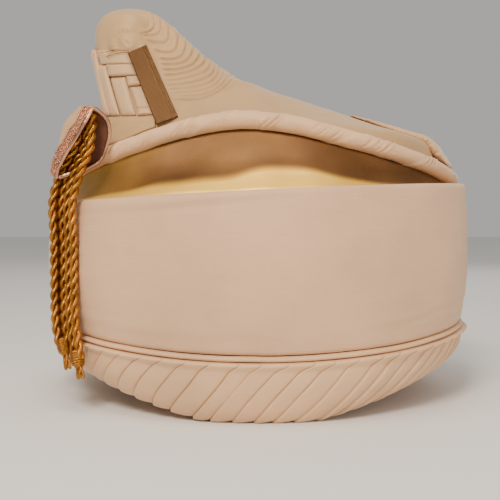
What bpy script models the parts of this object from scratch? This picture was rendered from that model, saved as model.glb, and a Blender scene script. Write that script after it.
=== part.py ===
"""A tied turban (pagri) in cream cloth, with a raised hump, a zari panel and a corded tassel.

Metres, +Z up. The front faces -Y, the hump and the tassel are at -X, and z = 0 is the
surface that the pleated rim rests on. Turns are degrees round the turban from the front
towards +X. Tables hold shares of the named sizes above them.
"""

from collections import namedtuple
from math import atan2, cos, degrees, pi, radians, sin

import bmesh
import bpy
from mathutils import Matrix, Vector
from mathutils.bvhtree import BVHTree

# Whole body
BODY_WIDTH = 0.278
BODY_DEPTH = 0.272
SEAT_GAP = 0.0003

# Pleated rim
HEAD_WIDTH = 0.164
HEAD_LENGTH = 0.204
RIM_HEIGHT = 0.035
RIM_SIDE_RISE = 0.0085
KEEL_LIFT = 0.019
KEEL_FLAT = 0.27
RIM_INSET = 0.0048
PLEATS = 62
PLEAT_DEPTH = 0.0016
PLEAT_TWIST = 16.0

# Binding and band
BINDING_HEIGHT = 0.0032
BINDING_WIDTH = 0.0050
BINDING_INSET = 0.0038
BAND_WALL = 0.0030
BAND_BULGE = 0.0024
BAND_FOOT_INSET = 0.0046
BAND_TOP = 0.1275
BAND_SLANT = 0.0065

# Zari panel
PANEL_WALL = 0.0020
PANEL_TUCK = 0.0060
PANEL_FIRST_TURN = -105
PANEL_LAST_TURN = 70

# Crest roll
ROLL_RADIUS = 0.0052
ROLL_RISE = 0.0415
ROLL_SET_BACK = 0.0310
ROLL_SIDES = 7

# Crown and hump
HUMP_X = BODY_WIDTH * -84 / 278
HUMP_Y = -0.0220
HUMP_TOP = 0.2470
CROWN_WALL = 0.0030
CEILING_HEIGHT = 0.166
FAN_X = BODY_WIDTH * -45 / 278
FAN_Y = -0.0100
CROWN_COLUMNS = 40
GATHER_DEPTH = 0.0011
CROWN_GAP = 0.00045
CEILING_SHARES = (0.0, 0.15, 0.35, 0.6, 0.82)

# Side wrap
WRAP_WALL = 0.0024
WRAP_FOLD = 0.0012
WRAP_EDGE = 0.35
WRAP_GAP = 0.00045
WRAP_FIRST_ROW = 8.1
WRAP_SPAN = (-9.0, 153.0)

# Woven face, foot fold and zari tail
STRIP_THICKNESS = 0.0014
WEAVE_LIFT = 0.0010
FOLD_THICKNESS = 0.0018
FOLD_TOP = 0.1735
FOLD_SPAN = (BODY_WIDTH * -15.5 / 278, BODY_WIDTH * 19.2 / 278)
FOLD_CLEARANCE = 0.0025
PATCH_GAP = 0.0008
TAIL_LENGTH = 0.0480
TAIL_WIDTH = 0.0134
TAIL_THICKNESS = 0.0028
TAIL_LEAN = 25.0
TAIL_GAP = 0.0009
TAIL_TOP_X = BODY_WIDTH * -74.8 / 278
TAIL_TOP_Z = 0.2160

# Ornament
HOOD_LENGTH = 0.0450
HOOD_WALL = 0.0016
HOOD_BULGE = 0.0215
HOOD_GAP = 0.0006
HOOD_SAMPLES = 48
HOOD_X = BODY_WIDTH * -95 / 278
HOOD_Z = 0.1765
BRAID_RADIUS = 0.0014
BRAID_GAP = 0.0011
FACE_FRONT = Vector((0.30, -0.95, -0.10))

# Tassel
CORD_RADIUS = 0.0023
CORD_SIDES = 6
CORD_SPACING = 0.0054
TASSEL_TOP = 0.1640
TASSEL_TURN = -48.0
TASSEL_HEAD = 2.2

RING_STEP = 5

CREAM = (0.60, 0.50, 0.35)
IVORY = (0.66, 0.56, 0.41)
ZARI = (0.72, 0.42, 0.12)
COPPER = (0.50, 0.24, 0.14)
CORD_GOLD = (0.74, 0.42, 0.10)

# The roll's height above the band's top, and how far it is set back from the band
CrestStation = namedtuple("CrestStation", "turn rise set_back")
CREST_LINE = (
    CrestStation(turn=-90, rise=0.19, set_back=0.00),
    CrestStation(turn=-70, rise=0.44, set_back=0.15),
    CrestStation(turn=-55, rise=0.62, set_back=0.34),
    CrestStation(turn=-40, rise=0.81, set_back=0.70),
    CrestStation(turn=-22, rise=0.97, set_back=0.97),
    CrestStation(turn=-6, rise=1.00, set_back=1.00),
    CrestStation(turn=10, rise=0.90, set_back=0.98),
    CrestStation(turn=21, rise=0.77, set_back=0.90),
    CrestStation(turn=35, rise=0.60, set_back=0.74),
    CrestStation(turn=47, rise=0.44, set_back=0.53),
    CrestStation(turn=60, rise=0.28, set_back=0.29),
    CrestStation(turn=73, rise=0.12, set_back=0.09),
    CrestStation(turn=90, rise=0.07, set_back=0.00),
    CrestStation(turn=120, rise=0.05, set_back=0.00),
    CrestStation(turn=230, rise=0.06, set_back=0.00),
    CrestStation(turn=250, rise=0.11, set_back=0.00),
    CrestStation(turn=270, rise=0.19, set_back=0.00),
)

# The rim's section: out from the head opening to the outer ring, and up from the base
RimPoint = namedtuple("RimPoint", "out up pleat")
RIM_SECTION = (
    RimPoint(out=1.00, up=1.00, pleat=0.0),
    RimPoint(out=0.995, up=0.84, pleat=0.7),
    RimPoint(out=0.97, up=0.62, pleat=1.0),
    RimPoint(out=0.91, up=0.38, pleat=1.0),
    RimPoint(out=0.80, up=0.15, pleat=1.0),
    RimPoint(out=0.64, up=0.00, pleat=0.9),
    RimPoint(out=0.36, up=0.00, pleat=0.8),
    RimPoint(out=0.12, up=0.10, pleat=0.6),
    RimPoint(out=0.00, up=0.40, pleat=0.0),
    RimPoint(out=0.04, up=1.00, pleat=0.0),
)
# One pleat from its raised lip to the dip under the next one
PLEAT_PROFILE = ((0.0, 1.0), (0.86, 0.0))

# The panel's section: in from the band to the roll, and up from its tucked edge
PanelPoint = namedtuple("PanelPoint", "inward up")
PANEL_SECTION = (
    PanelPoint(inward=0.00, up=0.00),
    PanelPoint(inward=0.03, up=0.16),
    PanelPoint(inward=0.30, up=0.24),
    PanelPoint(inward=0.58, up=0.38),
    PanelPoint(inward=0.82, up=0.62),
    PanelPoint(inward=1.00, up=1.00),
)

# The crown's meridians from the hump's top to the base: out as a share of the way to the
# base, up as a share of the hump's height over the base, one pair for each direction
CrownRow = namedtuple(
    "CrownRow",
    "row ridge_out ridge_up slope_out slope_up front_out front_up "
    "left_out left_up back_out back_up rear_out rear_up",
)
CROWN_ROWS = (
    CrownRow(0, 0.000, 1.000, 0.00, 1.000, 0.00, 1.000, 0.000, 1.000, 0.000, 1.000, 0.000, 1.000),
    CrownRow(1, 0.070, 0.954, 0.09, 0.985, 0.20, 0.988, 0.300, 0.987, 0.095, 0.985, 0.055, 0.985),
    CrownRow(2, 0.123, 0.903, 0.18, 0.940, 0.40, 0.950, 0.490, 0.962, 0.170, 0.955, 0.110, 0.945),
    CrownRow(3, 0.184, 0.802, 0.26, 0.840, 0.57, 0.870, 0.630, 0.895, 0.250, 0.885, 0.160, 0.860),
    CrownRow(4, 0.240, 0.717, 0.33, 0.710, 0.65, 0.765, 0.660, 0.796, 0.300, 0.795, 0.210, 0.755),
    CrownRow(5, 0.307, 0.636, 0.40, 0.590, 0.70, 0.645, 0.645, 0.688, 0.355, 0.690, 0.260, 0.665),
    CrownRow(6, 0.368, 0.563, 0.46, 0.480, 0.74, 0.530, 0.600, 0.589, 0.415, 0.590, 0.320, 0.585),
    CrownRow(7, 0.458, 0.511, 0.54, 0.365, 0.77, 0.420, 0.545, 0.489, 0.500, 0.500, 0.410, 0.505),
    CrownRow(8, 0.604, 0.430, 0.64, 0.250, 0.80, 0.310, 0.490, 0.406, 0.610, 0.410, 0.530, 0.430),
    CrownRow(9, 0.802, 0.305, 0.77, 0.140, 0.84, 0.200, 0.480, 0.290, 0.760, 0.290, 0.680, 0.335),
    CrownRow(10, 0.930, 0.232, 0.88, 0.070, 0.89, 0.110, 0.500, 0.199, 0.880, 0.170, 0.820, 0.220),
    CrownRow(11, 0.977, 0.190, 0.95, 0.025, 0.95, 0.045, 0.760, 0.108, 0.957, 0.080, 0.930, 0.100),
    CrownRow(12, 1.000, 0.000, 1.00, 0.000, 1.00, 0.000, 1.000, 0.000, 1.000, 0.000, 1.000, 0.000),
)
# Where each meridian form holds, in degrees from +X
CROWN_DIRECTIONS = (
    (-180, "left"), (-90, "front"), (-40, "slope"), (0, "ridge"),
    (45, "rear"), (90, "back"), (180, "left"),
)
GATHER_ROWS = (1.0, 7.0)
GATHERS = 9

# The woven face: each strip's edges along the face and up it, and how far it is raised
WEAVE_FACE = (BODY_WIDTH * -20 / 278, BODY_WIDTH * 26 / 278, 0.1750, 0.2140)
WEAVE_LOOK = 18.0
WEAVE_MARGIN = 0.06
WEAVE_NARROWING = 0.12
WEAVE_UPRIGHTS = (0.00, 0.13, 0.36, 0.66, 1.00)
WEAVE_LEVELS = (0.00, 0.16, 0.46, 0.68, 0.84, 1.00)
WEAVE_RAISED = (
    (1, 1, 1, 0),
    (1, 1, 1, 1),
    (1, 1, 1, 0),
    (1, 1, 0, 1),
    (1, 0, 0, 0),
)

# The hood's two rims from its top to its tip: x, y and z as shares of its length
HoodRim = namedtuple("HoodRim", "along x y z")
HOOD_OUTER_RIM = (
    HoodRim(along=0.00, x=0.00, y=0.000, z=0.000),
    HoodRim(along=0.25, x=-0.05, y=-0.06, z=-0.22),
    HoodRim(along=0.50, x=-0.16, y=-0.06, z=-0.48),
    HoodRim(along=0.75, x=-0.32, y=-0.03, z=-0.72),
    HoodRim(along=1.00, x=-0.52, y=0.02, z=-0.93),
)
HOOD_INNER_RIM = (
    HoodRim(along=0.00, x=0.00, y=0.00, z=0.00),
    HoodRim(along=0.25, x=0.18, y=0.12, z=-0.16),
    HoodRim(along=0.50, x=0.18, y=0.17, z=-0.42),
    HoodRim(along=0.75, x=0.00, y=0.16, z=-0.70),
    HoodRim(along=1.00, x=-0.52, y=0.02, z=-0.93),
)

# The tassel's middle line: down as a share of its top height, turn from the tassel's own
# turn in degrees, and how far it stands off the band's cylinder in cord radii
TasselStation = namedtuple("TasselStation", "height turn off")
TASSEL_LINE = (
    TasselStation(height=1.00, turn=6.0, off=-3.2),
    TasselStation(height=0.93, turn=5.0, off=-2.2),
    TasselStation(height=0.84, turn=3.0, off=0.2),
    TasselStation(height=0.74, turn=0.2, off=1.6),
    TasselStation(height=0.60, turn=-1.6, off=1.15),
    TasselStation(height=0.46, turn=-1.2, off=1.15),
    TasselStation(height=0.33, turn=1.4, off=1.5),
    TasselStation(height=0.22, turn=4.2, off=1.5),
    TasselStation(height=0.14, turn=6.8, off=1.4),
)
# The cords across the tassel, in cord spacings, their layer and their length
TasselCord = namedtuple("TasselCord", "across layer end")
TASSEL_CORDS = (
    TasselCord(across=-1.6, layer=0, end=0.80),
    TasselCord(across=-0.55, layer=0, end=0.86),
    TasselCord(across=0.5, layer=0, end=0.97),
    TasselCord(across=1.55, layer=0, end=1.00),
    TasselCord(across=-1.1, layer=1, end=0.90),
)


def clear_scene():
    for item in list(bpy.data.objects):
        bpy.data.objects.remove(item, do_unlink=True)


def make_material(name, colour, roughness, metallic=0.0):
    material = bpy.data.materials.new(name)
    material.use_nodes = True
    shader = material.node_tree.nodes["Principled BSDF"]
    shader.inputs["Base Color"].default_value = (*colour, 1.0)
    shader.inputs["Roughness"].default_value = roughness
    shader.inputs["Metallic"].default_value = metallic
    return material


def make_piece(name, points, faces, material):
    """One named object from points and faces, shaded smooth away from its sharp edges."""
    mesh = bpy.data.meshes.new(name)
    mesh.from_pydata([tuple(p) for p in points], [], faces)
    shell = bmesh.new()
    shell.from_mesh(mesh)
    bmesh.ops.recalc_face_normals(shell, faces=shell.faces)
    shell.to_mesh(mesh)
    shell.free()
    mesh.shade_smooth()
    mesh.set_sharp_from_angle(angle=radians(50))
    mesh.materials.append(material)
    piece = bpy.data.objects.new(name, mesh)
    bpy.context.collection.objects.link(piece)
    return piece


def smooth_step(value):
    value = min(1.0, max(0.0, value))
    return value * value * (3 - 2 * value)


def read_rows(rows, key, at, column):
    """The value of a column at a place along the rows, on a smooth curve through them."""
    places = [getattr(row, key) for row in rows]
    values = [getattr(row, column) for row in rows]
    if at <= places[0]:
        return values[0]
    if at >= places[-1]:
        return values[-1]
    slopes = []
    for i in range(len(rows)):
        low = max(0, i - 1)
        high = min(len(rows) - 1, i + 1)
        slopes.append((values[high] - values[low]) / (places[high] - places[low]))
    i = max(k for k in range(len(rows) - 1) if places[k] <= at)
    step = places[i + 1] - places[i]
    t = (at - places[i]) / step
    start = values[i] * (1 + 2 * t) * (1 - t) ** 2 + slopes[i] * step * t * (1 - t) ** 2
    finish = values[i + 1] * t * t * (3 - 2 * t) - slopes[i + 1] * step * t * t * (1 - t)
    return start + finish


def whole_turn(turn):
    """A turn brought into the crest table's range."""
    return (turn + 90) % 360 - 90


def band_top(turn):
    return BAND_TOP + BAND_SLANT * sin(radians(turn))


def rim_top(turn):
    return RIM_HEIGHT + RIM_SIDE_RISE * sin(radians(turn)) ** 2


def band_foot(turn):
    return rim_top(turn) + BINDING_HEIGHT + 2 * SEAT_GAP


def band_ring(turn, inset, height=0.0):
    """A point on the body's oval plan, set in from its outside."""
    along = radians(turn)
    x = (BODY_WIDTH / 2 - inset) * sin(along)
    y = -(BODY_DEPTH / 2 - inset) * cos(along)
    return Vector((x, y, height))


def offset_ring(ring, distance):
    """A closed ring of points moved outward in plan, square to its own line."""
    moved = []
    for i, point in enumerate(ring):
        ahead = ring[(i + 1) % len(ring)] - ring[i - 1]
        out = Vector((ahead.y, -ahead.x, 0)).normalized()
        moved.append(point + out * distance)
    return moved


def band_bulge(turn, height):
    """How far the band's outside is set in at a height, least at its middle."""
    share = (height - band_foot(turn)) / (band_top(turn) - band_foot(turn))
    edge = BAND_BULGE if share > 0.5 else BAND_FOOT_INSET
    return edge * (2 * share - 1) ** 2


def ring_turns():
    return [i * RING_STEP for i in range(360 // RING_STEP)]


def roll_line():
    """The crest roll's middle line, a closed ring of points."""
    nested = BAND_BULGE + BAND_WALL + SEAT_GAP + ROLL_RADIUS
    line = []
    for turn in ring_turns():
        place = whole_turn(turn)
        rise = read_rows(CREST_LINE, "turn", place, "rise") * ROLL_RISE
        back = read_rows(CREST_LINE, "turn", place, "set_back") * ROLL_SET_BACK
        line.append(band_ring(turn, nested + back, band_top(turn) + rise))
    return line


def hoop(name, sections, material):
    """A closed ring solid from one closed section for each column."""
    points = [p for section in sections for p in section]
    count = len(sections[0])
    faces = []
    for i in range(len(sections)):
        here = i * count
        after = (i + 1) % len(sections) * count
        for k in range(count):
            nxt = (k + 1) % count
            faces.append((here + k, here + nxt, after + nxt, after + k))
    return make_piece(name, points, faces, material)


def slab(name, front, back, material):
    """A sheet with a wall, from a grid of front points and one of back points."""
    rows = len(front)
    columns = len(front[0])
    points = [p for row in front for p in row] + [p for row in back for p in row]
    half = rows * columns
    faces = []
    for r in range(rows - 1):
        for c in range(columns - 1):
            a = r * columns + c
            quad = (a, a + 1, a + columns + 1, a + columns)
            faces.append(quad)
            faces.append(tuple(half + i for i in reversed(quad)))
    edge = list(range(columns))
    edge += [r * columns + columns - 1 for r in range(1, rows)]
    edge += [(rows - 1) * columns + c for c in range(columns - 2, -1, -1)]
    edge += [r * columns for r in range(rows - 2, 0, -1)]
    for i, a in enumerate(edge):
        b = edge[(i + 1) % len(edge)]
        faces.append((b, a, half + a, half + b))
    return make_piece(name, points, faces, material)


def tube_mesh(path, radii, sides):
    """Points and faces of a closed tube along a path."""
    points = []
    faces = []
    side_way = Vector((0, 1, 0))
    for i, centre in enumerate(path):
        ahead = path[min(i + 1, len(path) - 1)] - path[max(i - 1, 0)]
        ahead.normalize()
        across = ahead.cross(side_way).normalized()
        up = across.cross(ahead)
        for k in range(sides):
            angle = 2 * pi * k / sides
            points.append(centre + radii[i] * (cos(angle) * across + sin(angle) * up))
    for i in range(len(path) - 1):
        for k in range(sides):
            nxt = (k + 1) % sides
            a = i * sides
            faces.append((a + k, a + nxt, a + sides + nxt, a + sides + k))
    last = (len(path) - 1) * sides
    faces.append(tuple(range(sides - 1, -1, -1)))
    faces.append(tuple(last + k for k in range(sides)))
    return points, faces


def build_rim(material):
    """The padded rim: lapped pleats that lean to the right and turn under."""
    columns = []
    step = 360 / PLEATS
    for pleat in range(PLEATS):
        for along, height in PLEAT_PROFILE:
            columns.append((pleat * step + along * step, height))
    sections = []
    for turn, raised in columns:
        section = []
        for row in RIM_SECTION:
            at = radians(turn - PLEAT_TWIST * (1 - row.up) * row.out)
            side = max(0.0, (abs(sin(at)) - KEEL_FLAT) / (1 - KEEL_FLAT))
            base = KEEL_LIFT * (side * 0.75 + 0.25 * smooth_step(side))
            top = rim_top(degrees(at)) - SEAT_GAP
            wide = BODY_WIDTH / 2 - RIM_INSET
            deep = BODY_DEPTH / 2 - RIM_INSET
            reach_x = HEAD_WIDTH / 2 + (wide - HEAD_WIDTH / 2) * row.out
            reach_y = HEAD_LENGTH / 2 + (deep - HEAD_LENGTH / 2) * row.out
            lift = PLEAT_DEPTH * row.pleat * raised
            outward = lift * (2 * row.out - 1)
            point = Vector(((reach_x + outward) * sin(at), -(reach_y + outward) * cos(at), 0))
            sunk = PLEAT_DEPTH * row.pleat * (1 - raised) * (1 - row.up)
            point.z = base + (top - base) * row.up + (sunk if base > 0 or row.up > 0 else 0)
            section.append(point)
        sections.append(section)
    return hoop("pleated_rim", sections, material)


def build_binding(material):
    sections = []
    for turn in ring_turns():
        low = rim_top(turn)
        high = low + BINDING_HEIGHT
        outer = BINDING_INSET
        inner = BINDING_INSET + BINDING_WIDTH
        crease = BINDING_HEIGHT / 2
        sections.append([
            band_ring(turn, outer + 0.15 * BINDING_WIDTH, low),
            band_ring(turn, outer, low + crease),
            band_ring(turn, outer + 0.15 * BINDING_WIDTH, high),
            band_ring(turn, inner, high),
            band_ring(turn, inner, low),
        ])
    return hoop("band_binding", sections, material)


def build_band(material):
    shares = (0.0, 0.05, 0.35, 0.65, 0.95, 1.0)
    sections = []
    for turn in ring_turns():
        foot = band_foot(turn)
        tall = band_top(turn) - foot
        outer = []
        for share in shares:
            height = foot + tall * share
            soft_edge = 0.25 * BAND_WALL if share in (0.0, 1.0) else 0.0
            outer.append(band_ring(turn, band_bulge(turn, height) + soft_edge, height))
        inner = [
            band_ring(turn, BAND_BULGE + BAND_WALL, foot + tall),
            band_ring(turn, BAND_FOOT_INSET + BAND_WALL, foot),
        ]
        sections.append(outer + inner)
    return hoop("wide_band", sections, material)


def build_roll(line, material):
    """The crest roll, a padded ring that follows its line."""
    outer = offset_ring(line, 1.0)
    sections = []
    for centre, beyond in zip(line, outer):
        out = beyond - centre
        out.z = 0
        section = []
        for k in range(ROLL_SIDES):
            angle = 2 * pi * (k + 0.5) / ROLL_SIDES
            section.append(centre + ROLL_RADIUS * (cos(angle) * out + Vector((0, 0, sin(angle)))))
        sections.append(section)
    return hoop("crest_roll", sections, material)


def build_panel(line, material):
    """The zari panel, tucked behind the band's top edge and leaning back under the roll."""
    turns = range(PANEL_FIRST_TURN, PANEL_LAST_TURN + 1, RING_STEP)
    tucked = BAND_BULGE + BAND_WALL + SEAT_GAP
    front = []
    back = []
    for row in PANEL_SECTION:
        front_row = []
        back_row = []
        for turn in turns:
            roll = line[(turn // RING_STEP) % len(line)]
            low = band_ring(turn, tucked, band_top(turn) - PANEL_TUCK)
            high = Vector((roll.x, roll.y, roll.z - ROLL_RADIUS - SEAT_GAP))
            point = low.lerp(high, row.inward)
            point.z = low.z + (high.z - low.z) * row.up
            behind = Vector((-point.x, -point.y, 0)).normalized()
            lean = Vector((0, 0, -1)) * (1 - row.up)
            front_row.append(point)
            back_row.append(point + (behind + 0.5 * lean).normalized() * PANEL_WALL)
        front.append(front_row)
        back.append(back_row)
    return slab("zari_panel", front, back, material)


def ring_hit(ring, origin, angle):
    """Where a ray in plan from an inner point meets a closed ring."""
    way = Vector((cos(angle), sin(angle)))
    for i, a in enumerate(ring):
        b = ring[(i + 1) % len(ring)]
        side = Vector((b.x - a.x, b.y - a.y))
        start = Vector((a.x - origin.x, a.y - origin.y))
        turn = way.x * side.y - way.y * side.x
        if abs(turn) < 1e-12:
            continue
        reach = (start.x * side.y - start.y * side.x) / turn
        share = (start.x * way.y - start.y * way.x) / turn
        if reach > 0 and -1e-9 <= share <= 1 + 1e-9:
            return a.lerp(b, share)
    raise ValueError("the fan centre is outside the ring")


def read_crown(row, angle):
    """Out and up of the crown's form at a row and a direction from the hump."""
    angle = (angle + 180) % 360 - 180
    for (a, first), (b, second) in zip(CROWN_DIRECTIONS, CROWN_DIRECTIONS[1:]):
        if a <= angle <= b:
            mix = smooth_step((angle - a) / (b - a))
            break
    values = []
    for kind in ("_out", "_up"):
        start = read_rows(CROWN_ROWS, "row", row, first + kind)
        finish = read_rows(CROWN_ROWS, "row", row, second + kind)
        values.append(start + (finish - start) * mix)
    return values


def gather_rings():
    """The crown's ring places: close together where the cloth is gathered."""
    first, last = GATHER_ROWS
    rings = [0.5, first]
    count = 2 * GATHERS
    rings += [first + (last - first) * (i + 1) / count for i in range(count)]
    rings += [last + 0.75, last + 1.5, last + 2.25, last + 3, last + 3.5, last + 4, last + 5]
    return rings


def gather_height(row, angle):
    first, last = GATHER_ROWS
    if not first < row < last:
        return 0.0
    place = (row - first) / (last - first) * 2 * GATHERS
    ridge = 1.0 if round(place) % 2 else -1.0
    spread = smooth_step((75 - abs(angle - 5)) / 45)
    return GATHER_DEPTH * ridge * spread


def crown_point(row, base):
    """A point of the crown's outside between the hump's top and a point of its base."""
    top = Vector((HUMP_X, HUMP_Y, HUMP_TOP))
    way = Vector((base.x - top.x, base.y - top.y, 0))
    angle = degrees(atan2(way.y, way.x))
    out, up = read_crown(row, angle)
    point = top + way * out
    point.z = base.z + (HUMP_TOP - base.z) * up
    raised = gather_height(row, angle)
    return point + Vector((way.normalized().x, way.normalized().y, 1.0)) * raised


def crown_base(line):
    """The ring where the crown meets the inside of the crest roll."""
    inner = offset_ring(line, -(ROLL_RADIUS + CROWN_GAP))
    fan = Vector((FAN_X, FAN_Y, 0))
    return [ring_hit(inner, fan, 2 * pi * i / CROWN_COLUMNS) for i in range(CROWN_COLUMNS)]


def build_crown(line, material):
    """The crown and its padded hump, over the hollow for the head."""
    bases = crown_base(line)
    rings = [[crown_point(row, base) for base in bases] for row in gather_rings()]
    outer = list(reversed(rings))
    inner_base = offset_ring([ring.copy() for ring in outer[0]], -CROWN_WALL)
    ceiling = Vector((FAN_X, FAN_Y, CEILING_HEIGHT))
    inner = []
    for share in CEILING_SHARES:
        ring = []
        for point in inner_base:
            low = point.z - CROWN_WALL
            spot = point.lerp(ceiling, share)
            spot.z = low + (CEILING_HEIGHT - low) * sin(share * pi / 2)
            ring.append(spot)
        inner.append(ring)
    stack = list(reversed(inner)) + outer
    points = [p for ring in stack for p in ring]
    count = len(bases)
    faces = []
    for r in range(len(stack) - 1):
        for c in range(count):
            nxt = (c + 1) % count
            a = r * count
            faces.append((a + c, a + nxt, a + count + nxt, a + count + c))
    points.append(ceiling)
    points.append(Vector((HUMP_X, HUMP_Y, HUMP_TOP)))
    last = (len(stack) - 1) * count
    for c in range(count):
        nxt = (c + 1) % count
        faces.append((len(points) - 2, nxt, c))
        faces.append((len(points) - 1, last + c, last + nxt))
    return make_piece("crown", points, faces, material)


def build_wrap(line, material):
    """Lapped long folds over the crown's far side, turned down over the roll."""
    bases = crown_base(line)
    roll_over = offset_ring(line, 0.25 * ROLL_RADIUS)
    fan = Vector((FAN_X, FAN_Y, 0))
    rows = [row for row in gather_rings() if WRAP_FIRST_ROW < row < len(CROWN_ROWS) - 1]
    first, last = (round(turn * CROWN_COLUMNS / 360) for turn in WRAP_SPAN)
    front = []
    back = []
    for row in rows:
        front_row = []
        back_row = []
        for c in range(first, last + 1):
            point = crown_point(row, bases[c])
            beside = crown_point(row, bases[c + 1]) - point
            below = crown_point(row + 0.05, bases[c]) - point
            out = below.cross(beside).normalized()
            fold = WRAP_FOLD * ((c - first) % 2)
            wall = WRAP_WALL * WRAP_EDGE if row == rows[0] else WRAP_WALL + fold
            back_row.append(point + out * WRAP_GAP)
            front_row.append(point + out * (WRAP_GAP + wall))
        front.append(front_row)
        back.append(back_row)
    lip_front = []
    lip_back = []
    for c in range(first, last + 1):
        spot = ring_hit(roll_over, fan, 2 * pi * c / CROWN_COLUMNS)
        fold = WRAP_FOLD * ((c - first) % 2)
        rest = spot.z + ROLL_RADIUS + WRAP_GAP
        away = Vector((spot.x, spot.y, 0)).normalized()
        lip_back.append(Vector((spot.x, spot.y, rest)))
        lip_front.append(Vector((spot.x, spot.y, rest + WRAP_WALL * 0.6 + fold)) + away * fold)
    front.append(lip_front)
    back.append(lip_back)
    return slab("side_wrap", front, back, material)


def tree_of(pieces):
    """One search tree over the faces of the pieces that carry another."""
    points = []
    faces = []
    for piece in pieces:
        start = len(points)
        points += [v.co.copy() for v in piece.data.vertices]
        faces += [tuple(start + i for i in face.vertices) for face in piece.data.polygons]
    return BVHTree.FromPolygons(points, faces)


def cast_depth(tree, across, height, look):
    """How far ahead the hump is met, seen from the front and a little from the left."""
    turn = radians(look)
    ahead = Vector((sin(turn), cos(turn), 0))
    start = look_point(across, height, 0, look)
    reach = tree.ray_cast(start - ahead * BODY_DEPTH, ahead)[3]
    if reach is None:
        raise ValueError("a laid strip misses the hump")
    return reach - BODY_DEPTH


def look_point(across, height, depth, look):
    turn = radians(look)
    x = HUMP_X + across * cos(turn) + depth * sin(turn)
    y = HUMP_Y - across * sin(turn) + depth * cos(turn)
    return Vector((x, y, height))


def laid_patch(name, tree, places, thicknesses, look, material):
    """A sheet laid on the hump, with its places across and up and its thickness at each."""
    rows = len(places)
    columns = len(places[0])
    depths = [[cast_depth(tree, a, h, look) for a, h in row] for row in places]
    raised = [[0.0] * columns for _ in range(rows)]
    for r in range(rows - 1):
        for c in range(columns - 1):
            corners = [(r, c), (r, c + 1), (r + 1, c + 1), (r + 1, c)]
            for s in spread(0, 1, 7):
                for t in spread(0, 1, 7):
                    shares = [(1 - s) * (1 - t), s * (1 - t), s * t, (1 - s) * t]
                    spot = [sum(k * places[i][j][n] for k, (i, j) in zip(shares, corners))
                            for n in (0, 1)]
                    flat = sum(k * depths[i][j] for k, (i, j) in zip(shares, corners))
                    excess = flat - cast_depth(tree, spot[0], spot[1], look)
                    for i, j in corners:
                        raised[i][j] = max(raised[i][j], excess)
    front = []
    back = []
    for r in range(rows):
        front_row = []
        back_row = []
        for c in range(columns):
            across, height = places[r][c]
            depth = depths[r][c] - raised[r][c] - PATCH_GAP
            back_row.append(look_point(across, height, depth, look))
            front_row.append(look_point(across, height, depth - thicknesses[r][c], look))
        front.append(front_row)
        back.append(back_row)
    return slab(name, front, back, material)


def spread(low, high, count):
    return [low + (high - low) * i / (count - 1) for i in range(count)]


def build_weave(crown, material):
    """The woven strips, one sheet whose squares stand over or under each other."""
    left, right, low, high = WEAVE_FACE
    across = []
    for a, b in zip(WEAVE_UPRIGHTS, WEAVE_UPRIGHTS[1:]):
        across += [a + WEAVE_MARGIN * (b - a), b - WEAVE_MARGIN * (b - a)]
    upward = []
    for a, b in zip(WEAVE_LEVELS, WEAVE_LEVELS[1:]):
        upward += [a + WEAVE_MARGIN * (b - a), b - WEAVE_MARGIN * (b - a)]
    places = []
    depths = []
    for j, up in enumerate(upward):
        height = low + (high - low) * up
        narrow = 1 - WEAVE_NARROWING * (1 - up)
        places.append([(left * narrow + (right - left * narrow) * s, height) for s in across])
        depths.append([
            STRIP_THICKNESS + WEAVE_LIFT * WEAVE_RAISED[j // 2][i // 2]
            for i in range(len(across))
        ])
    return laid_patch("woven_face", tree_of([crown]), places, depths, WEAVE_LOOK, material)


def roll_top_at(line, x):
    """The height of the crest roll's top on the front of the turban, at a place along X."""
    front = sorted((p.x, p.z) for p in line if p.y < 0)
    for (xa, za), (xb, zb) in zip(front, front[1:]):
        if xa <= x <= xb:
            return za + (zb - za) * (x - xa) / (xb - xa) + ROLL_RADIUS
    raise ValueError("the place is past the end of the roll")


def build_foot_fold(crown, line, material):
    """The plain folded strip between the woven face and the crest roll."""
    places = []
    depths = []
    columns = spread(*FOLD_SPAN, 11)
    lows = [roll_top_at(line, HUMP_X + across) + FOLD_CLEARANCE for across in columns]
    for share in spread(0, 1, 5):
        edge = share in (0, 1)
        places.append([(a, low + (FOLD_TOP - low) * share) for a, low in zip(columns, lows)])
        depths.append([FOLD_THICKNESS * (0.6 if edge else 1.0)] * len(columns))
    return laid_patch("foot_fold", tree_of([crown]), places, depths, 0, material)


def build_tail(carriers, material):
    """The folded zari end: a stiff flat strip that leans on the hump."""
    tree = tree_of(carriers)
    lean = radians(TAIL_LEAN)
    down = Vector((sin(lean), 0, -cos(lean)))
    side = Vector((cos(lean), 0, sin(lean)))
    top = Vector((TAIL_TOP_X, 0, TAIL_TOP_Z))
    rows = []
    for share in spread(0, 1, 13):
        middle = top + down * TAIL_LENGTH * share
        ends = [middle + side * TAIL_WIDTH * s for s in spread(-0.5, 0.5, 9)]
        depths = [cast_depth(tree, end.x - HUMP_X, end.z, 0) + HUMP_Y for end in ends]
        rows.append((middle, min(depths)))
    steady = [min(y for _, y in rows[max(0, i - 1):i + 2]) for i in range(len(rows))]
    front = []
    back = []
    for (middle, _), y in zip(rows, steady):
        left = middle - side * TAIL_WIDTH / 2
        right = middle + side * TAIL_WIDTH / 2
        left.y = right.y = y - TAIL_GAP
        thick = Vector((0, -TAIL_THICKNESS, 0))
        back.append([left, right])
        front.append([left + thick, right + thick])
    return slab("zari_tail", front, back, material)


def hood_rim(rows, along):
    x = HOOD_X + HOOD_LENGTH * read_rows(rows, "along", along, "x")
    y = HOOD_LENGTH * read_rows(rows, "along", along, "y")
    z = HOOD_Z + HOOD_LENGTH * read_rows(rows, "along", along, "z")
    return Vector((x, y, z))


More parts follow.
